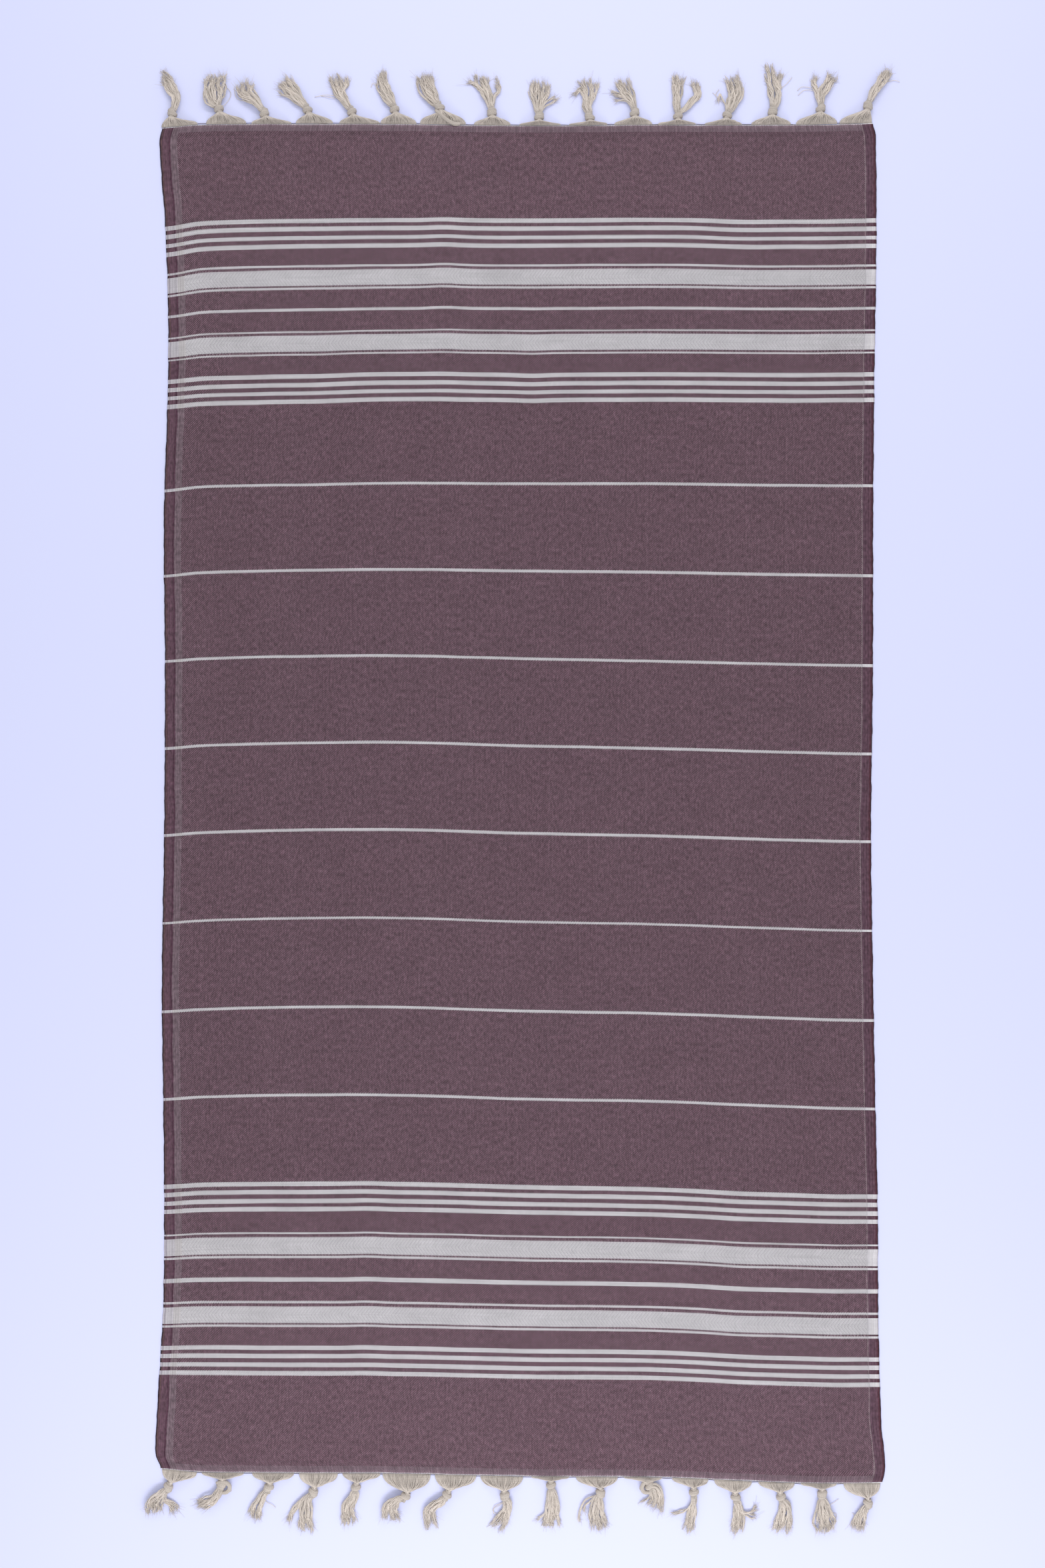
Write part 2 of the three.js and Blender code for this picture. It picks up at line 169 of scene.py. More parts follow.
x, y = cloth_points(across, along)
cad_low, cad_high = (np.array(corner) * per_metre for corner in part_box("cloth"))
own_middle = np.array([x.min() + x.max(), y.min() + y.max(), 0]) / 2
to_row_frame = np.array([1, 1, 0]) * (cad_low + cad_high) / 2 - own_middle

from_selvedge = (1 - np.abs(across))[None, :] * half_width
from_end = np.minimum(upper_end - along, along - lower_end)[:, None]

# the small waviness of the selvedges and the ends, which fades out inwards
edge_waver = 0.35
fades_over = 18
for side, seed in ((-1, 3), (1, 4)):
    nearness = np.clip(1 - (1 - side * across) * half_width / fades_over, 0, 1)[None, :]
    x += nearness * waver(along, edge_waver, shortest=15, seed=seed)[:, None]
for end, seed in ((upper_end, 5), (lower_end, 6)):
    nearness = np.clip(1 - np.abs(along - end) / fades_over, 0, 1)[:, None]
    y += nearness * waver(across * half_width, edge_waver, shortest=35, seed=seed)[None, :]

# the selvedges are thicker, the ridges stand up, and every edge is rounded over
selvedge_width = 12
selvedge_extra = 0.3
slopes_over = 2
z = np.full((len(along), len(across)), thickness)
z += selvedge_extra * np.clip((selvedge_width + slopes_over / 2 - from_selvedge) / slopes_over, 0, 1)
for ridge_across, ridge_along, wide, reach, height in ridges:
    sideways = (across[None, :] - ridge_across) / wide
    lengthways = (along[:, None] - ridge_along) / reach
    z += height * np.exp(-sideways**2 - lengthways**2)
rounded_over = 1.6
edge_share = 0.4
nearest = np.clip(np.minimum(from_selvedge, from_end) / rounded_over, 0, 1)
z *= edge_share + (1 - edge_share) * np.sin(nearest * np.pi / 2)

corner = np.arange(z.size).reshape(z.shape)
upper_face = np.stack([corner[:-1, :-1], corner[1:, :-1], corner[1:, 1:], corner[:-1, 1:]], -1)
upper_face = upper_face.reshape(-1, 4)
lower_face = upper_face[:, ::-1] + z.size
rim = np.concatenate([corner[:-1, 0], corner[-1, :-1], corner[:0:-1, -1], corner[0, :0:-1]])
onward = np.roll(rim, -1)
side_face = np.stack([rim + z.size, onward + z.size, onward, rim], -1)
cloth_mesh_points = np.concatenate([np.stack([x, y, z], -1), np.stack([x, y, 0 * z], -1)]).reshape(-1, 3)
cloth_faces = [np.concatenate([upper_face, lower_face, side_face])]
thread_place = np.broadcast_arrays(across[None, :] * half_width, along[:, None])
thread_place = np.stack(thread_place, -1).reshape(-1, 2)
cloth_uv = [np.concatenate([thread_place, thread_place])[cloth_faces[0]]]


def linear(colour):
    """A colour given as sRGB hex, as the linear values that a shader wants."""
    parts = [int(colour[k:k + 2], 16) / 255 for k in (1, 3, 5)]
    return [c / 12.92 if c <= 0.04045 else ((c + 0.055) / 1.055) ** 2.4 for c in parts] + [1]


def add(tree, kind, inputs, output=0, **settings):
    """A node with its settings. An input is a value, or another node's output, which is linked to it."""
    node = tree.nodes.new("ShaderNode" + kind)
    for name, value in settings.items():
        setattr(node, name, value)
    for key, value in inputs.items():
        if isinstance(value, bpy.types.NodeSocket):
            tree.links.new(value, node.inputs[key])
        else:
            node.inputs[key].default_value = value
    return node.outputs[output] if node.outputs else None


def new_material(name):
    """An empty material with its node tree."""
    material = bpy.data.materials.new(name)
    material.use_nodes = True
    material.node_tree.nodes.clear()
    return material, material.node_tree


# a Mix node's inputs and output for colours, which bear the same names as those for numbers
colour_a = 6
colour_b = 7
mixed_colour = 2

# Cotton twill, woven: soft and quite matt. Maroon weft lies over three pale warp ends and under one, so
# thin pale lines fall to the right, and white picks make the stripes and the herringbone bands.
cotton_twill, twill = new_material("cotton_twill")
end_pitch = 0.55
pick_pitch = 0.725
maroon_weft = linear("#482c39")
# the warp is given darker than the cream yarn it is: painted shade where its short floats sink between the
# picks, the most among the maroon
warp_on_maroon = linear("#887882")
white_weft = linear("#bbb9bd")
warp_on_white = linear("#9f9ba2")

weave_uv = add(twill, "UVMap", {}, uv_map="weave")
split = add(twill, "SeparateXYZ", {0: weave_uv}).node
u, v = split.outputs["X"], split.outputs["Y"]

# the beat of the loom was uneven: weft yarns wander by a few tenths of a millimetre over 60 mm
wander_scale = (0.016, 0.1, 0)
wander_range = 1.2
wander_place = add(twill, "VectorMath", {0: weave_uv, 1: wander_scale}, operation="MULTIPLY")
wander = add(twill, "TexNoise", {"Vector": wander_place, "Scale": 1.0, "Detail": 2.0})
wander = add(twill, "Math", {0: wander, 1: wander_range, 2: -wander_range / 2}, operation="MULTIPLY_ADD")
v_wander = add(twill, "Math", {0: v, 1: wander}, operation="ADD")

# where the twill is: inside both selvedges and both headers
left_twill = -450.3
right_twill = 457.5
header_height = 9.8
inside_left = add(twill, "Math", {0: u, 1: left_twill}, operation="GREATER_THAN")
inside = add(twill, "Math", {0: u, 1: right_twill}, operation="LESS_THAN")
inside = add(twill, "Math", {0: inside, 1: inside_left}, operation="MULTIPLY")
from_middle = add(twill, "Math", {0: v, 1: -(upper_end + lower_end) / 2}, operation="ADD")
from_middle = add(twill, "Math", {0: from_middle}, operation="ABSOLUTE")
half_length = (upper_end - lower_end) / 2
header = add(twill, "Math", {0: from_middle, 1: half_length - header_height}, operation="GREATER_THAN")
not_header = add(twill, "Math", {0: 1.0, 1: header}, operation="SUBTRACT")
twill_here = add(twill, "Math", {0: inside, 1: not_header}, operation="MULTIPLY")

# each warp float lifts the stripe's edge, so in the twill the edges are toothed at every fourth end
twill_repeat = 4.0
tooth_height = 1.3
tooth = add(twill, "Math", {0: u, 1: 1 / (twill_repeat * end_pitch)}, operation="MULTIPLY")
tooth = add(twill, "Math", {0: tooth}, operation="FRACT")
tooth = add(twill, "Math", {0: tooth, 1: tooth_height, 2: -tooth_height / 2}, operation="MULTIPLY_ADD")
tooth = add(twill, "Math", {0: tooth, 1: inside}, operation="MULTIPLY")
v_tooth = add(twill, "Math", {0: v_wander, 1: tooth}, operation="ADD")

# the count of the warp end and of the pick at a point
end_at = add(twill, "Math", {0: u, 1: 1 / end_pitch}, operation="MULTIPLY")
end_count = add(twill, "Math", {0: end_at}, operation="FLOOR")
pick_at = add(twill, "Math", {0: v_wander, 1: 1 / pick_pitch}, operation="MULTIPLY")
pick_count = add(twill, "Math", {0: pick_at}, operation="FLOOR")
striped_pick = add(twill, "Math", {0: v_tooth, 1: pick_pitch}, operation="SNAP")

# white picks: where the middle of each stripe lies along the cloth, and its width. From the upper end
# these are a set of four, two bands between thin lines, four more, the field's eight lines and all again.
line_width = 3.5
stripes = (
    (900.2, 1.3), (771.6, 5.7), (760.3, 5.7), (748.6, 5.7), (737.5, 5.7), (710.5, 2.6), (694.8, 21.4),
    (680.9, 2.6), (652.2, 3.9), (622.5, 2.6), (606.6, 21.5), (591.9, 2.7), (562.6, 5.6), (551.2, 5.6),
    (539.8, 5.6), (528.3, 5.6), (415.5, line_width), (298.5, line_width), (181.1, line_width),
    (64.0, line_width), (-52.3, line_width), (-170.4, line_width), (-289.0, line_width),
    (-405.5, line_width), (-521.8, 5.6), (-533.0, 5.6), (-544.4, 5.6), (-555.4, 5.6), (-586.8, 2.7),
    (-603.6, 22.0), (-618.3, 2.9), (-647.9, 5.6), (-678.0, 3.0), (-694.5, 22.0), (-708.8, 3.0),
    (-738.0, 5.8), (-748.9, 5.8), (-760.3, 5.8), (-771.6, 5.8), (-901.7, 1.3),
)
white = 0.0
for middle, width in stripes:
    compared = {0: striped_pick, 1: middle - pick_pitch / 2, 2: width / 2}
    in_stripe = add(twill, "Math", compared, operation="COMPARE")
    white = add(twill, "Math", {0: white, 1: in_stripe}, operation="MAXIMUM")

# in the wide bands the twill turns at the band's middle, so that its lines point to the left
wide_from = 20
wide_bands = [middle for middle, width in stripes if width > wide_from]
from_band = half_length
for middle in wide_bands:
    away = add(twill, "Math", {0: v_wander, 1: middle}, operation="SUBTRACT")
    away = add(twill, "Math", {0: away}, operation="ABSOLUTE")
    from_band = add(twill, "Math", {0: from_band, 1: away}, operation="MINIMUM")
band_half = 13
band = add(twill, "Math", {0: from_band, 1: band_half}, operation="LESS_THAN")
band = add(twill, "Math", {0: band, 1: twill_here}, operation="MULTIPLY")
from_band = add(twill, "Math", {0: from_band, 1: -1 / pick_pitch}, operation="MULTIPLY")
from_band = add(twill, "Math", {0: from_band}, operation="CEIL")

# which yarn is on top: every fourth end in the twill, every second in plain weave. In the bands every
# second float is two ends wide, which makes the lines bolder.
plain_repeat = 2.0
bold_repeat = 2 * twill_repeat
turned = add(twill, "Mix", {"Factor": band, "A": pick_count, "B": from_band})
order = add(twill, "Math", {0: end_count, 1: turned}, operation="ADD")
repeat = add(twill, "Mix", {"Factor": twill_here, "A": plain_repeat, "B": twill_repeat})
warp_up = add(twill, "Math", {0: order, 1: repeat}, operation="FLOORED_MODULO")
warp_up = add(twill, "Math", {0: warp_up, 1: 0.5}, operation="LESS_THAN")
bold = add(twill, "Math", {0: order, 1: bold_repeat}, operation="FLOORED_MODULO")
bold = add(twill, "Math", {0: bold, 1: 1.5}, operation="LESS_THAN")
bold = add(twill, "Math", {0: bold, 1: band}, operation="MULTIPLY")
warp_up = add(twill, "Math", {0: warp_up, 1: bold}, operation="MAXIMUM")

# no two ends and no two picks are dyed and spun quite alike, and here and there a pick is thin and
# dark. The streaks are about 80 mm long, and the clouds 50 x 36 mm.
streak_scale = (0.012, 0.83, 0)
cloud_scale = (0.02, 0.028, 0)
end_tone = add(twill, "TexWhiteNoise", {"W": end_count}, noise_dimensions="1D")
end_tone = add(twill, "MapRange", {"Value": end_tone, "To Min": 0.88, "To Max": 1.12})
streak_place = add(twill, "CombineXYZ", {"X": u, "Y": pick_count})
streak_place = add(twill, "VectorMath", {0: streak_place, 1: streak_scale}, operation="MULTIPLY")
streak = add(twill, "TexNoise", {"Vector": streak_place, "Scale": 1.0, "Detail": 1.0})
tones = {"Value": streak, "From Min": 0.25, "From Max": 0.75, "To Min": 0.86, "To Max": 1.14}
pick_tone = add(twill, "MapRange", tones)
thin_pick = {"Value": streak, "From Min": 0.15, "From Max": 0.19, "To Min": 0.7, "To Max": 1.0}
thin_pick = add(twill, "MapRange", thin_pick)
pick_tone = add(twill, "Math", {0: pick_tone, 1: thin_pick}, operation="MULTIPLY")
cloud_place = add(twill, "VectorMath", {0: weave_uv, 1: cloud_scale}, operation="MULTIPLY")
cloud = add(twill, "TexNoise", {"Vector": cloud_place, "Scale": 1.0, "Detail": 4.0, "Roughness": 0.65})
clouds = {"Value": cloud, "From Min": 0.3, "From Max": 0.7, "To Min": 0.93, "To Max": 1.07}
cloud = add(twill, "MapRange", clouds)
# uneven spinning and dyeing leave short streaks along the warp and small patches. They are faint
# on white, and weaker in the headers than in the twill.
header_calm = 0.65
hidden_on_white = 0.85
calm = add(twill, "Math", {0: header, 1: header_calm}, operation="MULTIPLY")
calm = add(twill, "Math", {0: calm, 1: white}, operation="MAXIMUM")
shown = add(twill, "Math", {0: calm, 1: -hidden_on_white, 2: 1.0}, operation="MULTIPLY_ADD")
for apart_across, apart_along, contrast in ((2.4, 6.5, 0.3), (7.7, 5.0, 0.15)):
    spot_scale = (1 / apart_across, 1 / apart_along, 0)
    mottle = add(twill, "VectorMath", {0: weave_uv, 1: spot_scale}, operation="MULTIPLY")
    mottle = add(twill, "TexNoise", {"Vector": mottle, "Scale": 1.0, "Detail": 2.0})
    mottle = {"Value": mottle, "From Min": 0.3, "From Max": 0.7, "To Min": -contrast, "To Max": contrast}
    mottle = add(twill, "MapRange", mottle)
    mottle = add(twill, "Math", {0: mottle, 1: shown, 2: 1.0}, operation="MULTIPLY_ADD")
    cloud = add(twill, "Math", {0: cloud, 1: mottle}, operation="MULTIPLY")
# painted light: towards both ends the maroon is painted a little lighter, the most so towards the lower
# one
for starts, ends, end_light_painted in ((540, 780, 0.045), (-500, -830, 0.085)):
    pale = add(twill, "MapRange", {"Value": v, "From Min": starts, "From Max": ends, "To Max": end_light_painted})
    pale = add(twill, "Math", {0: pale, 1: shown, 2: 1.0}, operation="MULTIPLY_ADD")
    cloud = add(twill, "Math", {0: cloud, 1: pale}, operation="MULTIPLY")
# under the upper header the twill is beaten closer and a little darker
close_half = 3.2
close_middle = upper_end - header_height - close_half
darker = 0.09
close_twill = add(twill, "Math", {0: v, 1: close_middle, 2: close_half}, operation="COMPARE")
close_twill = add(twill, "Math", {0: close_twill, 1: -darker, 2: 1.0}, operation="MULTIPLY_ADD")
cloud = add(twill, "Math", {0: cloud, 1: close_twill}, operation="MULTIPLY")

# in the headers the warp lies in pairs, which show as fine ticks
tick_count = add(twill, "Math", {0: u, 1: 1 / (2 * end_pitch)}, operation="MULTIPLY")
tick_count = add(twill, "Math", {0: tick_count}, operation="FLOOR")
tick = add(twill, "TexWhiteNoise", {"W": tick_count}, noise_dimensions="1D")
tick = add(twill, "MapRange", {"Value": tick, "To Min": 0.76, "To Max": 1.06})
# the last few picks are slack, so more of the pale warp shows between them
slack_from = half_length - 6
slack_to = half_length - 1
slack = {"Value": from_middle, "From Min": slack_from, "From Max": slack_to, "To Min": 1.0, "To Max": 1.35}
slack = add(twill, "MapRange", slack)
tick = add(twill, "Math", {0: tick, 1: slack}, operation="MULTIPLY")
tick = add(twill, "Mix", {"Factor": header, "A": 1.0, "B": tick})
cloud = add(twill, "Math", {0: cloud, 1: tick}, operation="MULTIPLY")

weft_colours = {"Factor": white, colour_a: maroon_weft, colour_b: white_weft}
weft = add(twill, "Mix", weft_colours, output=mixed_colour, data_type="RGBA")
weft = add(twill, "VectorMath", {0: weft, "Scale": pick_tone}, operation="SCALE")
warp_colours = {"Factor": white, colour_a: warp_on_maroon, colour_b: warp_on_white}
warp = add(twill, "Mix", warp_colours, output=mixed_colour, data_type="RGBA")
warp = add(twill, "VectorMath", {0: warp, "Scale": end_tone}, operation="SCALE")
yarns = {"Factor": warp_up, colour_a: weft, colour_b: warp}
woven = add(twill, "Mix", yarns, output=mixed_colour, data_type="RGBA")

# the selvedges, from the edge inwards: how far in each plain zone ends, its colour where the weft is
# maroon and its colour where the weft is white. The first zone's near-black on maroon is painted shade
# under the rolled-over edge, where the maroon weft also turns round it.
left_zones = (
    (1.8, "#2c1d2a", "#b9b4be"), (3.4, "#5c4549", "#9d97a3"), (11.8, "#5b424f", "#b2aeb5"),
    (14.0, "#472e3c", "#aaa6ad"), (23.4, "#6b5a63", "#b2aeb1"),
)
right_zones = (
    (1.3, "#35232c", "#b6b2ba"), (3.5, "#4a2b36", "#c1bdc3"), (6.0, "#553d49", "#c4c1c6"),
    (6.9, "#48313e", "#bfbcc2"), (10.3, "#58404d", "#c4c1c6"), (11.2, "#4a3441", "#bfbcc2"),
    (13.9, "#58414e", "#c1bec4"), (15.5, "#77666d", "#b1aeb4"),
)
selvedge_reach = 24
plain_tone = add(twill, "Mix", {"Factor": warp_up, "A": pick_tone, "B": end_tone})
# their ends stand higher than their picks and catch more light
pick_light = 0.8
end_light = 1.2
light_step = end_light - pick_light
over_under = add(twill, "Math", {0: warp_up, 1: light_step, 2: pick_light}, operation="MULTIPLY_ADD")
plain_tone = add(twill, "Math", {0: plain_tone, 1: over_under}, operation="MULTIPLY")
# their warp runs in pairs too, which show as fine lengthwise lines
pair_tone = add(twill, "TexWhiteNoise", {"W": tick_count}, noise_dimensions="1D")
pair_tone = add(twill, "MapRange", {"Value": pair_tone, "To Min": 0.84, "To Max": 1.16})
plain_tone = add(twill, "Math", {0: plain_tone, 1: pair_tone}, operation="MULTIPLY")
# and the zones wander by a millimetre or so over some 70 mm of the towel's length, but not at the edge
zone_scale = 0.014
zone_range = 4.0
steady_to = 2.5
loose_from = 9.0
zone_place = add(twill, "Math", {0: v, 1: zone_scale}, operation="MULTIPLY")
zone_wander = {"W": zone_place, "Scale": 1.0, "Detail": 2.0}
zone_wander = add(twill, "TexNoise", zone_wander, noise_dimensions="1D")
zone_wander = {0: zone_wander, 1: zone_range, 2: -zone_range / 2}
zone_wander = add(twill, "Math", zone_wander, operation="MULTIPLY_ADD")
for side, zones in ((1, left_zones), (-1, right_zones)):
    inwards = add(twill, "Math", {0: u, 1: side, 2: half_width}, operation="MULTIPLY_ADD")
    loosened = {"Value": inwards, "From Min": steady_to, "From Max": loose_from}
    loosened = add(twill, "MapRange", loosened)
    inwards = add(twill, "Math", {0: loosened, 1: zone_wander, 2: inwards}, operation="MULTIPLY_ADD")
    inwards = add(twill, "Math", {0: inwards, 1: 1 / selvedge_reach}, operation="MULTIPLY")
    sorts = []
    for sort in (1, 2):
        zone = add(twill, "ValToRGB", {"Fac": inwards})
        ramp = zone.node.color_ramp
        ramp.interpolation = "CONSTANT"
        starts = [0] + [row[0] / selvedge_reach for row in zones[:-1]]
        while len(ramp.elements) < len(zones):
            ramp.elements.new(1)
        for element, start, row in zip(ramp.elements, starts, zones):
            element.position = start
            element.color = linear(row[sort])
        sorts.append(zone)
    plain = {"Factor": white, colour_a: sorts[0], colour_b: sorts[1]}
    plain = add(twill, "Mix", plain, output=mixed_colour, data_type="RGBA")
    plain = add(twill, "VectorMath", {0: plain, "Scale": plain_tone}, operation="SCALE")
    zone_end = zones[-1][0] / selvedge_reach
    in_zone = add(twill, "Math", {0: inwards, 1: zone_end}, operation="LESS_THAN")
    woven = {"Factor": in_zone, colour_a: woven, colour_b: plain}
    woven = add(twill, "Mix", woven, output=mixed_colour, data_type="RGBA")
woven = add(twill, "VectorMath", {0: woven, "Scale": cloud}, operation="SCALE")

# every yarn stands up round where it is on top, about a tenth of a millimetre
thread_relief = 0.12 / per_metre
pick_round = add(twill, "Math", {0: v_wander, 1: pick_pitch / 2}, operation="PINGPONG")
pick_round = add(twill, "Math", {0: pick_round, 1: 2 / pick_pitch}, operation="MULTIPLY")
end_round = add(twill, "Math", {0: u, 1: end_pitch / 2}, operation="PINGPONG")
end_round = add(twill, "Math", {0: end_round, 1: 2 / end_pitch}, operation="MULTIPLY")
thread_height = add(twill, "Mix", {"Factor": warp_up, "A": pick_round, "B": end_round})
thread_bump = add(twill, "Bump", {"Height": thread_height, "Strength": 0.6, "Distance": thread_relief})
surface = add(twill, "BsdfPrincipled", {
    "Base Color": woven, "Roughness": 0.9, "Specular IOR Level": 0.25, "Sheen Weight": 0.08,
    "Sheen Roughness": 0.5, "Normal": thread_bump,
})
add(twill, "OutputMaterial", {"Surface": surface})

towel_cloth = make_piece("towel_cloth", cloth_mesh_points, cloth_faces, cloth_uv, cotton_twill)
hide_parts("cloth")


# The loose picks: at each end one maroon weft yarn has slipped off the cloth and lies along its edge,
# under the fringe. It shows as a dark thread in the gaps from tassel to tassel, and its near-black also
# stands for painted shade under the cloth's end.


def unit(way):
    """Directions brought to a length of one."""
    return way / np.linalg.norm(way, axis=-1, keepdims=True)


def yarn_tubes(paths, radii, sides, beside=(0, 0, 1)):
    """Round yarns along paths (yarns x rings x 3) as points, faces and weave coordinates.

    The weave coordinates count the yarns and the way round each, and the millimetres along it."""
    yarns, rings, _ = paths.shape
    ahead = unit(np.gradient(paths, axis=1))
    level = unit(np.cross(ahead, np.broadcast_to(beside, ahead.shape)))
    upright = np.cross(level, ahead)
    turn = 2 * np.pi * np.arange(sides) / sides
    ring = level[:, :, None] * np.cos(turn)[:, None] + upright[:, :, None] * np.sin(turn)[:, None]
    points = (paths[:, :, None] + ring * radii[:, :, None, None]).reshape(-1, 3)
    index = np.arange(yarns * rings * sides).reshape(yarns, rings, sides)
    after = np.roll(index, -1, axis=2)
    walls = np.stack([index[:, :-1], after[:, :-1], after[:, 1:], index[:, 1:]], -1).reshape(-1, 4)
    steps = np.linalg.norm(np.diff(paths, axis=1), axis=-1)
    run = np.concatenate([np.zeros((yarns, 1)), np.cumsum(steps, axis=1)], axis=1)
    margin = 0.02
    round_at = margin + (1 - 2 * margin) * np.arange(sides + 1) / sides + np.arange(yarns)[:, None]
    round_grid = np.broadcast_to(round_at[:, None, :], (yarns, rings, sides + 1))
    run_grid = np.broadcast_to(run[:, :, None], (yarns, rings, sides + 1))
    place = np.stack([round_grid, run_grid], -1)
    wall_uv = np.stack([place[:, :-1, :-1], place[:, :-1, 1:], place[:, 1:, 1:], place[:, 1:, :-1]], 3)
    caps = np.concatenate([index[:, 0, ::-1], index[:, -1]])
    cap_uv = np.concatenate([place[:, 0, 1:], place[:, -1, 1:]])
    return points, [walls, caps], [wall_uv.reshape(-1, 4, 2), cap_uv]


def spun_yarn(name, colour, sheen):
    """Spun cotton yarn, soft and matt. Each yarn is a little lighter or darker than its neighbours, its
    ply shows as fine slanting lines, painted darker in their grooves as painted shade, and its tone
    attribute darkens and lightens it from place to place, with painted shade and painted light on the
    fringe."""
    material, yarn = new_material(name)
    along_yarn = add(yarn, "UVMap", {}, uv_map="weave")
    along_yarn = add(yarn, "SeparateXYZ", {0: along_yarn}).node
    yarn_count = add(yarn, "Math", {0: along_yarn.outputs["X"]}, operation="FLOOR")
    yarn_tone = add(yarn, "TexWhiteNoise", {"W": yarn_count}, noise_dimensions="1D")
    yarn_tone = add(yarn, "MapRange", {"Value": yarn_tone, "To Min": 0.87, "To Max": 1.06})
    ply_turn = 2.4
    ply = add(yarn, "Math", {0: along_yarn.outputs["Y"], 1: 1 / ply_turn}, operation="MULTIPLY")
    ply = add(yarn, "Math", {0: ply, 1: along_yarn.outputs["X"]}, operation="ADD")
    ply = add(yarn, "Math", {0: ply, 1: 0.5}, operation="PINGPONG")
    # painted shade: the grooves between the plies are painted darker
    ply_groove_shade = add(yarn, "MapRange", {"Value": ply, "From Max": 0.25, "To Min": 0.86, "To Max": 1.0})
    yarn_tone = add(yarn, "Math", {0: yarn_tone, 1: ply_groove_shade}, operation="MULTIPLY")
    place_tone = add(yarn, "Attribute", {}, output="Fac", attribute_name="tone")
    yarn_tone = add(yarn, "Math", {0: yarn_tone, 1: place_tone}, operation="MULTIPLY")
    yarn_colour = add(yarn, "VectorMath", {0: linear(colour)[:3], "Scale": yarn_tone}, operation="SCALE")
    ply_relief = 0.3 / per_metre
    ply_bump = add(yarn, "Bump", {"Height": ply, "Strength": 0.5, "Distance": ply_relief})
    surface = add(yarn, "BsdfPrincipled", {
        "Base Color": yarn_colour, "Roughness": 0.88, "Specular IOR Level": 0.25, "Sheen Weight": sheen,
        "Sheen Roughness": 0.5, "Normal": ply_bump,
    })
    add(yarn, "OutputMaterial", {"Surface": surface})
    return material


# Maroon cotton, one loose yarn: matt and nearly black against the pale surface, which is partly painted
# shade.
maroon_cotton = spun_yarn("maroon_yarn_and_edge_shade", "#473541", 0.05)

pick_radius = 0.36
pick_sides = 5
pick_rings = 420
pick_ends = 0.985
# how far its middle lies out from the cloth's end and up from the surface
pick_out = 0.75
pick_up = 0.75
pick_across = np.linspace(-pick_ends, pick_ends, pick_rings)
for end, side_name, edge_at, seed in ((1, "top", upper_end, 7), (-1, "bottom", lower_end, 8)):
    pick_x, pick_y = cloth_points(pick_across, np.array([edge_at]))
    strays_out = pick_out + waver(pick_x[0], size=0.4, shortest=22, seed=seed)
    pick_z = pick_up + waver(pick_x[0], size=0.15, shortest=17, seed=seed)
    path = np.column_stack([pick_x[0], pick_y[0] + end * strays_out, pick_z])[None]
    points, faces, uv = yarn_tubes(path, np.full(path.shape[:2], pick_radius), pick_sides)
    tone = np.repeat(1 + waver(pick_x[0], size=0.2, shortest=9, seed=seed + 2), pick_sides)
    piece = make_piece(f"loose_pick_and_edge_shade_{side_name}", points, faces, uv, maroon_cotton, tone)


# The fringe: the warp ends that the loom leaves over, natural cotton yarn that isn't dyed. By hand they
# are gathered in sixteen bunches at each end, about ninety ends in a bunch, twisted a little and tied in
# one overhand knot. Beyond the knot the yarns lie loose, have opened at their tips and lie each its way.

